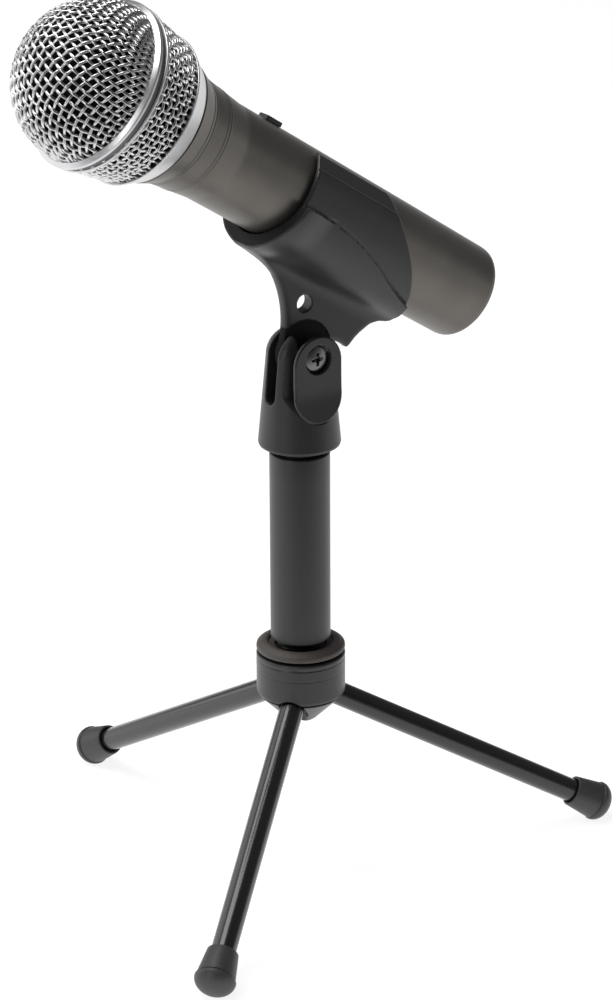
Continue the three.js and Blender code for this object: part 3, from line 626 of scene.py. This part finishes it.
PIVOT_HEIGHT = JOINTS["clip_tilt"]["pos_m"][2] / MM
PAD_TOP = 170.3              # centres of the raised pad's round ends
PAD_LOW = 160.2
PAD_RADIUS = 8.8
PAD_THICK = 1.15
PAD_FACE = -10.5
SLOT_HALF = 2.4
SLOT_FOOT = 159.0            # centre of the slot's round end
HOLLOW_REAR = -6.2
CROWN_FOOT = 174.6
BOLT_RADIUS = 2.65           # hole for the pivot screw
HEXAGON_TURNS = (math.pi / 2, math.pi / 6, -math.pi / 6)


def hexagon_distance(x, z, half):
    """Distance to a hexagonal prism along y, half its width across flats."""
    return np.maximum.reduce([np.abs(x * math.cos(a) + z * math.sin(a)) for a in HEXAGON_TURNS]) - half


def build_clip_base():
    dome = [(10.3 * math.cos(a), 171 + 9.2 * math.sin(a)) for a in np.linspace(0, math.pi / 2, 12)]
    outline = [(-5, 140.3), (9.5, 140.3), (9.75, 140.6), (9.75, 141.4)]
    outline += [(12.2, 141.5), (12.7, 141.8), (12.95, 142.6)] + dome + [(-5, 180.2)]

    def body(x, y, z):
        radius = np.hypot(x, y)
        up = z - PIVOT_HEIGHT
        spine = capsule_distance(x, z, 0, PAD_LOW, 0, PAD_TOP, 0)
        stadium = spine - PAD_RADIUS
        below = 160 - z
        face_y = PAD_FACE - 0.1 * (below + np.sqrt(below * below + 4))
        face = face_y - y
        inner = polygon_distance(radius, z, outline)
        inner = most(inner, -np.maximum(stadium - 0.1, -face - 0.5), 0.3)
        hollow = np.maximum(spine - 9.4, y - HOLLOW_REAR + np.maximum(below, 0))
        inner = most(inner, -hollow, 2.2)
        crown = np.maximum(np.maximum(y, -4.6 - x), CROWN_FOOT - z)
        inner = most(inner, -crown, 0.4)
        chamfer = (stadium + face + 0.4) * math.sqrt(0.5)
        plate = np.maximum(np.maximum(stadium, chamfer), np.maximum(face, -face - PAD_THICK))
        core = np.maximum(np.maximum(spine - 5.5, face), y + 2.6)
        core = np.maximum(core, -np.maximum(CROWN_FOOT - z, HOLLOW_REAR - y))
        whole = least(inner, np.minimum(plate, core), 0.12)
        slot = np.where(z > SLOT_FOOT, np.abs(y), np.hypot(y, z - SLOT_FOOT)) - SLOT_HALF
        whole = most(whole, -slot, 0.7)
        stud_room = np.maximum(radius - 8.2, z - 147)
        insert_room = np.maximum(np.maximum(radius - 9.7, z - 155.2), 145.7 - z)
        whole = np.maximum(whole, -np.minimum(stud_room, insert_room))
        bore = np.hypot(x, up) - BOLT_RADIUS
        counter = np.maximum(np.hypot(x, up) - 4.75, y + 6.7)
        hexagon = np.maximum(hexagon_distance(x, up, 4.3), 5.9 - y)
        return most(most(whole, -np.minimum(bore, counter), 0.25), -hexagon, 0.25)

    low, high = (-14.5, -14.5, 139), (14.5, 14.5, 181.5)
    item = solid_object("clip_socket", body, low, high, 0.27, POST, CLIP_PLASTIC)
    settle(item, "clip_base", "clip_plastic", "clip_base")

    def screw(x, y, z):
        radius = np.hypot(x, z)
        sphere = np.sqrt(x * x + z * z + (y - 0.6) ** 2) - 10.7
        head = most(most(radius - 4.3, y + 8.1, 0.25), sphere, 0.5)
        shank = np.maximum(np.maximum(radius - 2.35, -8.9 - y), y - 10.0)
        inward = np.clip((y + 10.1) / 1.6, 0, 1.2)
        wing = 2.25 - 1.0 * inward
        half = 0.52 - 0.12 * inward
        across = np.maximum(np.abs(x) - wing, np.abs(z) - half)
        upright = np.maximum(np.abs(z) - wing, np.abs(x) - half)
        bar = np.minimum(across, upright)
        bar = least(bar, radius - 0.95 + 0.5 * inward, 0.25)
        recess = np.maximum(bar, y + 8.6)
        return most(np.minimum(head, shank), -recess, 0.12)

    low, high = (-4.8, -11.8, -4.8), (4.8, 10.6, 4.8)
    item = solid_object("pivot_bolt", screw, low, high, 0.13, PIVOT, SCREW_STEEL)
    settle(item, "clip_base", "screw_steel", "pivot_screw")

    def nut(x, y, z):
        hexagon = hexagon_distance(x, z, 4.0)
        ends = np.abs(y - 8.0) - 1.8
        taper = (np.hypot(x, z) - 4.35 + (np.abs(y - 8.0) - 1.4) * 1.6) * 0.53
        bore = np.hypot(x, z) - 2.6
        return most(most(most(hexagon, ends, 0.1), taper, 0.05), -bore, 0.2)

    item = solid_object("pivot_hexnut", nut, (-5.2, 5.6, -5.2), (5.2, 10.4, 5.2), 0.16, PIVOT, ZINC)
    settle(item, "clip_base", "zinc_steel", "pivot_nut")


# ---------------------------------------------------------------- cradle

BORE = 16.4
ARM_RADIUS = 17.9
ARM_TOP = 14.2
BODY_SINK = 1.4
WEB_HALF = 2.2
TONGUE_HALF = 1.6
TONGUE_REACH = 10.5
WEB_FILLET = 4.6
BOSS = 8.5                   # radius of the tongue's end round the pivot

# Side view of the cradle, along and up from the microphone's datum.
FRONT_EDGE = [(11.2, -20.9), (12.2, -20.2), (12.4, -18), (12.3, -16.2), (12.0, -12), (11.4, -8), (10.9, -4)]
TROUGH = [(9.6, -24)] + FRONT_EDGE + [
    (10.7, 0), (10.3, 6), (9.5, 11), (8.7, ARM_TOP), (-21.4, ARM_TOP), (-23.2, ARM_TOP - 1), (-28, 7.6),
    (-37.1, -1.6), (-44.2, -9.3), (-47.9, -13.6), (-49.2, -16.0), (-50.6, -18.0), (-51.0, -19.0),
    (-50, -20.2), (-46, -24),
]
CREASE = [(-2.3, -1.9), (-9.7, -2.8), (-17.6, -4.3), (-27.1, -7), (-33.2, -9.4), (-39.3, -11.4)]
SEAM_UP = [(11.5, -2.2)] + CREASE + [(-46.5, -13.2)]
BAND_ANGLE = math.radians(123)   # where the flat band along the top of an arm begins, from straight down
LIP_RADIUS = 20.4
LIP_SINK = 0.5


def path_distance(x, y, points):
    """Distance in the plane to an open polyline."""
    nearest = np.full(x.shape, 1e9)
    for (ax, ay), (bx, by) in zip(points, points[1:]):
        nearest = np.minimum(nearest, capsule_distance(x, y, ax, ay, bx, by, 0))
    return nearest


def belly_distance(t, s, n):
    """The round belly, fuller at the front lip."""
    full = np.clip((t + 3) / 12.5, 0, 1)
    full = full * full * (3 - 2 * full)
    radius = ARM_RADIUS + (LIP_RADIUS - ARM_RADIUS) * full
    sink = BODY_SINK + (LIP_SINK - BODY_SINK) * full
    return np.hypot(s, n + sink) - radius


def lower_outline():
    """Side view of the lower body and its web: crease, rear end, hollow, pivot boss, front curve, lip."""
    def at(along, up):
        return (along - AXIS_LEAD, up - AXIS_RISE)

    outline = [(10.7, -2.2)] + CREASE + [(-47.7, -13.5), (-49.2, -16.0), (-50.6, -18.0)]
    outline += [(-51.2, -19.2), (-50.4, -20.1), (-48.4, -21.1), (-46.6, -23.2), (-45.8, -24.6)]
    outline += [(-44.5, -27), (-43.7, -29), (-43, -32), at(-15.3, 7.5)]
    outline += list(bezier(at(-15.3, 7.5), at(-12.4, 8.2), at(-9.3, 7.7), at(-6, 6)))
    turns = np.linspace(math.pi * 0.75, math.pi * 2, 24)
    outline += [at(BOSS * math.cos(a), BOSS * math.sin(a)) for a in turns]
    outline += list(bezier(at(BOSS, 0), at(11, 6.5), at(16, 12.5), at(23.2, 16.6)))
    outline += list(bezier(at(23.2, 16.6), at(27.5, 18.3), at(32, 19.3), at(36.7, 19.6)))
    return outline + FRONT_EDGE


def build_cradle():
    lower_shape = lower_outline()

    def body(t, s, n):
        radius = np.hypot(s, n)
        angle = np.arctan2(np.abs(s), -n)
        arms = radius - ARM_RADIUS
        flat = radius * np.cos(angle - math.radians(134)) - ARM_RADIUS * math.cos(math.radians(11.3))
        arms = np.maximum(arms, np.where(angle > BAND_ANGLE, flat, -1))
        arms = most(arms, polygon_distance(t, n, TROUGH), 0.7)
        band_seam = np.hypot((angle - BAND_ANGLE) * ARM_RADIUS, radius - ARM_RADIUS) - 0.38
        arms = most(arms, -band_seam, 0.15)
        side = polygon_distance(t, n, lower_shape)
        web = most(side, np.abs(s) - WEB_HALF, 2.2)
        lower = most(least(belly_distance(t, s, n), web, WEB_FILLET), side, 0.8)
        to_pivot = np.hypot(t + AXIS_LEAD, n + AXIS_RISE)
        tongue_room = np.maximum(TONGUE_HALF - np.abs(s), to_pivot - TONGUE_REACH)
        lower = most(lower, -tongue_room, 0.2)
        whole = least(arms, lower, 0.25)
        seam = np.hypot(path_distance(t, n, SEAM_UP), np.maximum(whole, 0)) - 0.4
        seam = np.maximum(seam, -0.07 - whole)
        whole = most(whole, -seam, 0.3)
        whole = most(whole, BORE - radius, 0.4)
        hole = np.hypot(t + AXIS_LEAD - 8.2, n + AXIS_RISE - 13.6) - 2.75
        return most(whole, -np.minimum(hole, to_pivot - BOLT_RADIUS), 0.4)

    def shade(points, normals):
        """Painted shade: the mouth's front face and the recessed round of the tongue are painted dark,
        standing in for their shadow.
        """
        t, s, n = points.T
        recess_shadow = np.clip((1.9 - np.abs(s)) / 0.4 + 0.5, 0, 1)
        recess_shadow *= np.clip((TONGUE_REACH + 0.4 - np.hypot(t + AXIS_LEAD, n + AXIS_RISE)) / 0.4 + 0.5, 0, 1)
        shell = np.minimum(np.hypot(s, n) - ARM_RADIUS, belly_distance(t, s, n))
        mouth = np.clip((normals[:, 0] - 0.6) / 0.25, 0, 1) * np.clip(-(shell + 0.5) / 0.4 + 0.5, 0, 1)
        return np.maximum(recess_shadow, 0.8 * mouth * (t > 10))

    low, high = (-53.5, -21.5, -51), (15.5, 21.5, 16)
    item = solid_object("clip_jaw", body, low, high, 0.44, MICROPHONE, CRADLE_PLASTIC_PAINTED_SHADE, shade)
    settle(item, "cradle", "clip_plastic", "clip_cradle")


# ---------------------------------------------------------------- microphone

def build_handle():
    profile = rounded_profile([
        (13.0, -74.2), (14.2, -74.4, 0.2), (15.2, -74.2, 0.5), (15.35, -72.8, 1.0), (15.6, -40), (15.8, 0),
        (16.0, 38.0, 20), (16.9, 45.85), (17.0, 46.0, 0.08), (17.05, 46.4, 0.08), (16.98, 46.55),
        (17.02, 47.0), (17.12, 47.15, 0.08), (17.17, 47.55, 0.08), (17.1, 47.7), (17.62, 52.75),
        (17.74, 52.9, 0.08), (17.79, 53.3, 0.08), (17.72, 53.45), (17.84, 53.95), (17.94, 54.1, 0.08),
        (18.06, 54.5, 0.08), (18.0, 54.65), (20.3, 60.2, 0.3),
        (20.2, 60.5), (15, 60.5), (15, 46), (13, 43), (13.0, -74.2),
    ])
    points, faces = turned(profile, 144, "x")
    item = new_object("handle", points, faces, MICROPHONE, HANDLE_PAINT)
    recess = rounded_slab(13.6, 6.0, 8.0, (21.4, 0, 16.0), 2.4)
    cutter = new_object("cutter", *recess, MICROPHONE, HANDLE_PAINT)
    tool = item.modifiers.new("slot", "BOOLEAN")
    tool.operation, tool.object, tool.solver = "DIFFERENCE", cutter, "EXACT"
    apply_modifiers(item)
    bpy.data.objects.remove(cutter)
    item.data.set_sharp_from_angle(angle=math.radians(25))
    settle(item, "microphone", "handle_paint", "mic_handle")


def apply_modifiers(item):
    bpy.context.view_layer.update()
    shown = item.evaluated_get(bpy.context.evaluated_depsgraph_get())
    mesh = bpy.data.meshes.new_from_object(shown)
    item.modifiers.clear()
    old, item.data = item.data, mesh
    bpy.data.meshes.remove(old)


def rounded_slab(length, width, height, centre, corner, steps=6):
    """Points and faces of a block with rounded upright corners."""
    outline = []
    for k, (sx, sy) in enumerate([(1, 1), (-1, 1), (-1, -1), (1, -1)]):
        for a in np.linspace(k * math.pi / 2, (k + 1) * math.pi / 2, steps):
            x = sx * (length / 2 - corner) + corner * math.cos(a)
            y = sy * (width / 2 - corner) + corner * math.sin(a)
            outline.append((x, y))
    count = len(outline)
    ends = (-height / 2, height / 2)
    points = [(x + centre[0], y + centre[1], z + centre[2]) for z in ends for x, y in outline]
    faces = [(k, (k + 1) % count, (k + 1) % count + count, k + count) for k in range(count)]
    faces += [tuple(range(count))[::-1], tuple(range(count, 2 * count))]
    return points, faces


def build_rings():
    band = rounded_profile([
        (15, 60.8), (20.35, 60.8, 0.35), (23.85, 67.1, 0.3), (24.1, 67.35, 0.15), (24.1, 67.85, 0.2),
        (22, 67.9), (17, 62.8), (15, 62.8), (15, 60.8),
    ])
    item = turned_object("grille_band", band, MICROPHONE, SATIN_SILVER, 144, "x")
    settle(item, "microphone", "satin_silver", "mic_grille_band")

    rear = rounded_profile([(24.5, 82.2), (26.45, 82.2, 0.3), (26.5, 83.05, 0.3), (24.5, 83.1), (24.5, 82.2)])
    item = turned_object("grille_hoop", rear, MICROPHONE, SATIN_SILVER, 144, "x")
    settle(item, "microphone", "polished_silver", "mic_grille_ring_rear")

    groove = [(24.5, 82.95), (26.0, 82.95), (26.0, 85.0), (24.5, 85.0), (24.5, 82.95)]
    item = turned_object("grille_channel", groove, MICROPHONE, CHANNEL_GREY_AND_SHADE, 144, "x")
    settle(item, "microphone", "dark_plastic", "mic_grille_ring_groove")

    front = rounded_profile([
        (24.0, 84.9), (26.65, 84.9, 0.25), (26.65, 85.9, 0.3), (25.3, 86.9, 0.2), (24.0, 86.6), (24.0, 84.9),
    ])
    item = turned_object("grille_flange", front, MICROPHONE, SATIN_SILVER, 144, "x")
    settle(item, "microphone", "polished_silver", "mic_grille_ring_front")


def wire_mesh(strands, radius, sides=7):
    """Closed round wires along strands of (points, normals)."""
    points, faces = [], []
    angles = np.arange(sides) * 2 * math.pi / sides
    for path, normal in strands:
        run = np.gradient(path, axis=0)
        run /= np.linalg.norm(run, axis=1, keepdims=True)
        side = np.cross(run, normal)
        side /= np.linalg.norm(side, axis=1, keepdims=True)
        up = np.cross(side, run)
        ring = (
            path[:, None]
            + radius * np.cos(angles)[None, :, None] * side[:, None]
            + radius * np.sin(angles)[None, :, None] * up[:, None]
        )
        first = len(points)
        points.extend(ring.reshape(-1, 3))
        count = len(path)
        for i in range(count - 1):
            for k in range(sides):
                n = (k + 1) % sides
                a, b = first + i * sides, first + (i + 1) * sides
                faces.append((a + k, a + n, b + n, b + k))
        faces.append(tuple(first + k for k in range(sides))[::-1])
        faces.append(tuple(first + (count - 1) * sides + k for k in range(sides)))
    return points, faces


DOME_REAR = 86.5
DOME_SEMI = (23.0, 24.4)     # wire centres: along the axis, across it
WEAVE = 0.30                 # how far a wire rises and dips at each crossing
WIRE_RADIUS = 0.52
SHEET_RADIUS = 24.5          # arc scale of the flat sheet that is drawn over the dome
DOME_PHASES = [
    (0.312, -0.142, 0.0007, -0.0020, -0.0037),
    (0.168, 0.359, -0.0027, -0.0001, 0.0037),
]


def dome_surface(u, v):
    """Point and outward normal on the dome for flat sheet coordinates."""
    reach = np.hypot(u, v)
    angle = reach / SHEET_RADIUS
    side = np.where(reach > 1e-9, u / np.maximum(reach, 1e-9), 1.0)
    up = np.where(reach > 1e-9, v / np.maximum(reach, 1e-9), 0.0)
    long, wide = DOME_SEMI
    across = np.sin(angle)
    point = np.stack([DOME_REAR + long * np.cos(angle), wide * across * side, wide * across * up], -1)
    normal = np.stack([np.cos(angle) / long, across * side / wide, across * up / wide], -1)
    return point, normal / np.linalg.norm(normal, axis=1, keepdims=True)


def phase_at(terms, u, v):
    a, b, c, d, e = terms
    return a * u + b * v + c * u * u / 2 + d * u * v + e * v * v / 2


def dome_strands():
    edge = SHEET_RADIUS * math.pi / 2 + 0.6
    strands = []
    step = 0.42
    for family, terms in enumerate(DOME_PHASES):
        other = DOME_PHASES[1 - family]
        lead = np.array(terms[:2]) / np.hypot(*terms[:2])
        along = np.array([-lead[1], lead[0]])
        travel = np.arange(-edge, edge, step)
        for number in range(-24, 25):
            offset = np.full(travel.shape, number / np.hypot(*terms[:2]))
            for _ in range(12):
                u = travel * along[0] + offset * lead[0]
                v = travel * along[1] + offset * lead[1]
                small = 1e-3
                value = phase_at(terms, u, v)
                slope = (phase_at(terms, u + small * lead[0], v + small * lead[1]) - value) / small
                offset -= np.clip((value - number) / np.maximum(slope, 0.12), -2, 2)
            good = (np.hypot(u, v) < edge) & (slope > 0.15) & (np.abs(value - number) < 0.02)
            if good.sum() < 5:
                continue
            u, v = u[good], v[good]
            point, normal = dome_surface(u, v)
            crossing = phase_at(other, u, v)
            sign = 1 if family == 0 else -1
            lift = sign * WEAVE * np.cos(math.pi * (crossing + number))
            strands.append((point + lift[:, None] * normal, normal))
    return strands


BASKET_SPAN = (67.6, 83.0)
BASKET_PITCH = 2.2
BASKET_COUNT = 70            # wires along the axis


def basket_surface(t, angle):
    """Point and outward normal on the basket's wall; the angle runs from down to the near side."""
    middle, ends = 75.15, (68.0, 82.3)
    share = (t - ends[0]) / (ends[1] - ends[0])
    radius = 23.6 + 2.4 * share + 0.2 * (1 - (2 * share - 1) ** 2) - WEAVE - WIRE_RADIUS
    slope = (2.4 - 0.8 * (2 * share - 1)) / (ends[1] - ends[0])
    outward = np.stack([np.zeros_like(t), np.sin(angle), -np.cos(angle)], -1)
    point = np.stack([t, radius * np.sin(angle), -radius * np.cos(angle)], -1)
    normal = outward - slope[:, None] * np.array([1.0, 0.0, 0.0])
    return point, normal / np.linalg.norm(normal, axis=1, keepdims=True)


def basket_strands():
    strands = []
    step = 2 * math.pi / BASKET_COUNT
    t = np.arange(BASKET_SPAN[0], BASKET_SPAN[1], 0.4)
    for k in range(BASKET_COUNT):
        drift = 0.25 * math.sin(2.1 * k) + 0.35 * math.sin(k * step * 3)
        angle = k * step + drift * step * (t - 75) / 14 + 0.08 * step * np.sin(t * 1.3 + k)
        point, normal = basket_surface(t, angle)
        lift = WEAVE * np.cos(math.pi * ((t - BASKET_SPAN[0]) / BASKET_PITCH + k))
        strands.append((point + lift[:, None] * normal, normal))
    rows = int((BASKET_SPAN[1] - BASKET_SPAN[0]) / BASKET_PITCH)
    turns = np.linspace(0, 2 * math.pi, BASKET_COUNT * 6 + 1)
    for row in range(1, rows + 1):
        drift = 0.25 * np.sin(turns * 2 + row) + 0.1 * np.sin(turns * 17 + row * 2)
        t = BASKET_SPAN[0] + row * BASKET_PITCH + drift
        point, normal = basket_surface(t, turns)
        lift = -WEAVE * np.cos(math.pi * (turns / step + row))
        strands.append((point + lift[:, None] * normal, normal))
    return strands


def build_grille():
    points, faces = wire_mesh(dome_strands(), WIRE_RADIUS)
    item = new_object("grille_dome", points, faces, MICROPHONE, WIRE)
    settle(item, "microphone", "grille_wire", "mic_grille_dome")
    points, faces = wire_mesh(basket_strands(), WIRE_RADIUS)
    item = new_object("grille_basket", points, faces, MICROPHONE, WIRE)
    settle(item, "microphone", "grille_wire", "mic_grille_basket")

    foam = [(0, 108.6)] + [
        (23.4 * math.sin(a), 86.5 + 22.1 * math.cos(a)) for a in np.linspace(0.1, math.pi / 2, 20)
    ] + [(24.1, 82), (23.6, 75), (22.0, 68.8), (18.5, 68.8), (19.5, 84), (0, 104)]
    item = turned_object("grille_foam", foam, MICROPHONE, FOAM, 96, "x")
    settle(item, "microphone", "foam", "mic_foam_liner")


def build_switch():
    def knob(t, s, n):
        along = t - 23.15
        cap = most(np.abs(along) - 3.15, np.abs(s) - 2.4, 0.5)
        cap = most(most(cap, n - 17.3, 0.4), 15.8 - n, 0.1)
        for offset in (-2.1, -1.05, 0.0, 1.05, 2.1):
            rib = np.maximum(np.abs(along - offset) - 0.22, 16.95 - n)
            cap = most(cap, -rib, 0.12)
        stem = np.maximum(np.maximum(np.abs(along) - 1.0, np.abs(s) - 0.8), np.abs(n - 14.0) - 2.2)
        return np.minimum(cap, stem)

    low, high = (19.4, -3, 11.3), (26.9, 3, 17.9)
    item = solid_object("switch_button", knob, low, high, 0.12, MICROPHONE, DARK_PLASTIC)
    settle(item, "mic_switch", "dark_plastic", "mic_switch_knob")

    def plate(t, s, n):
        along = t - 21.4
        outline = most(np.abs(along) - 6.5, np.abs(s) - 2.75, 1.5)
        slab = most(outline, np.abs(n - 14.75) - 0.95, 0.25)
        window = np.maximum(np.abs(along) - 3.05, np.abs(s) - 1.2)
        return most(slab, -window, 0.15)

    low, high = (14.4, -3.3, 13.2), (28.4, 3.3, 16.2)
    item = solid_object("switch_surround", plate, low, high, 0.16, MICROPHONE, DARK_PLASTIC)
    settle(item, "microphone", "dark_plastic", "mic_switch_plate")


def finish_hidden_nodes():
    """CAD nodes that stay as they are get the material of what they are made of."""
    finishes = {
        "hub_cap_screw": ZINC, "leg_pin_right": ZINC, "leg_pin_left": ZINC, "leg_pin_front": ZINC,
        "post_spigot": BLACK_STEEL, "thread_insert": BRASS, "pivot_washer": ZINC, "mic_thread_collar": ZINC,
        "mic_capsule": DARK_PLASTIC, "mic_shock_mount": MOUNT_RUBBER, "mic_switch_block": DARK_PLASTIC,
        "mic_circuit_board": BOARD, "mic_xlr_insert": DARK_PLASTIC,
        "mic_xlr_pin_1": GOLD, "mic_xlr_pin_2": GOLD, "mic_xlr_pin_3": GOLD,
        "mic_usb_socket": ZINC, "mic_headphone_jack": ZINC, "mic_set_screw": ZINC,
    }
    for name, material in finishes.items():
        node = frame["nodes"][name]
        node.data.materials.clear()
        node.data.materials.append(material)


# ---------------------------------------------------------------- stage

def build_camera():
    data = bpy.data.cameras.new("camera")
    data.lens = 141.98
    data.sensor_width = 36
    data.clip_start, data.clip_end = 0.05, 20
    camera = bpy.data.objects.new("camera", data)
    turn = Matrix.Rotation(math.radians(-35.185), 4, "Z") @ Matrix.Rotation(math.radians(68.588), 4, "X")
    turn = turn @ Matrix.Rotation(math.radians(-0.288), 4, "Z")
    camera.matrix_world = Matrix.Translation((-0.660890, -0.955544, 0.572168)) @ turn
    bpy.context.scene.collection.objects.link(camera)
    bpy.context.scene.camera = camera


def area_light(name, power, size, place, aim, colour=(1, 1, 1)):
    data = bpy.data.lights.new(name, "AREA")
    data.shape = "RECTANGLE"
    data.size, data.size_y = size
    data.energy = power
    data.color = colour
    light = bpy.data.objects.new(name, data)
    light.location = place
    light.rotation_mode = "QUATERNION"
    light.rotation_quaternion = (Vector(aim) - Vector(place)).to_track_quat("-Z", "Y")
    bpy.context.scene.collection.objects.link(light)


def build_world():
    """White behind and beside the stand, falling off to a dark front and ceiling."""
    world = bpy.data.worlds.new("studio")
    world.use_nodes = True
    bpy.context.scene.world = world
    tree = world.node_tree
    background = tree.nodes["Background"]
    place = tree.nodes.new("ShaderNodeTexCoord").outputs["Generated"]

    def range_of(direction, low, high, start, end):
        along = tree.nodes.new("ShaderNodeVectorMath")
        along.operation = "DOT_PRODUCT"
        along.inputs[1].default_value = direction
        tree.links.new(place, along.inputs[0])
        ramp = tree.nodes.new("ShaderNodeMapRange")
        ramp.interpolation_type = "SMOOTHSTEP"
        for label, value in (("From Min", low), ("From Max", high), ("To Min", start), ("To Max", end)):
            ramp.inputs[label].default_value = value
        tree.links.new(along.outputs["Value"], ramp.inputs["Value"])
        return ramp.outputs["Result"]

    product = tree.nodes.new("ShaderNodeMath")
    product.operation = "MULTIPLY"
    tree.links.new(range_of(AWAY, -0.95, -0.05, FRONT_LEVEL, 1.0), product.inputs[0])
    tree.links.new(range_of((0.0, 0.0, 1.0), -0.05, 0.15, 1.0, CEILING_LEVEL), product.inputs[1])
    seen = tree.nodes.new("ShaderNodeMath")
    seen.operation = "MAXIMUM"
    tree.links.new(product.outputs[0], seen.inputs[0])
    tree.links.new(tree.nodes.new("ShaderNodeLightPath").outputs["Is Camera Ray"], seen.inputs[1])
    tree.links.new(seen.outputs[0], background.inputs["Strength"])
    background.inputs["Color"].default_value = (1, 1, 1, 1)


AWAY = (0.576, 0.817, 0.0)       # level, away from the camera
FRONT_LEVEL = 0.10
CEILING_LEVEL = 0.15


def build_floor():
    reach = 10000
    points = [(-reach, -reach, 0), (reach, -reach, 0), (reach, reach, 0), (-reach, reach, 0)]
    shader = Shader("floor")
    shade = shader.noise(6, 2.0)
    shader.colour(shader.ramp(shade, [(0.3, 0.34), (0.7, 0.38)]))
    shader.surface.inputs["Roughness"].default_value = 0.9
    shader.surface.inputs["Emission Color"].default_value = (1, 1, 1, 1)
    along = shader.add("ShaderNodeVectorMath", operation="DOT_PRODUCT")
    along.inputs[1].default_value = AWAY
    shader.link(shader.place, along.inputs[0])
    sweep = shader.add("ShaderNodeMapRange", interpolation_type="SMOOTHSTEP")
    for label, value in (("From Min", -0.42), ("From Max", -0.13), ("To Min", 0.08), ("To Max", 0.86)):
        sweep.inputs[label].default_value = value
    shader.link(along.outputs["Value"], sweep.inputs["Value"])
    seen = shader.maths("MULTIPLY", shader.add("ShaderNodeLightPath").outputs["Is Camera Ray"], 0.86)
    strength = shader.maths("MAXIMUM", sweep.outputs["Result"], seen)
    shader.link(strength, shader.surface.inputs["Emission Strength"])
    floor = new_object("floor", points, [(0, 1, 2, 3)], Matrix.Identity(4), shader.material)


bpy.context.scene.view_settings.view_transform = "Standard"
build_camera()
build_world()
build_floor()
area_light("left_box", 2.6, (0.22, 0.9), (-1.25, -0.35, 0.5), (0, 0, 0.15))
area_light("top_box", 9.0, (0.9, 0.75), (-0.22, 0.2, 1.3), (0, 0, 0.15))
area_light("back_box", 5.4, (1.2, 1.2), (-0.75, 0.97, 0.7), (-0.05, -0.02, 0.25))

build_hub()
build_post()
for each_side in SIDES:
    build_leg(each_side)
build_clip_base()
build_cradle()
build_handle()
build_rings()
build_grille()
build_switch()
finish_hidden_nodes()
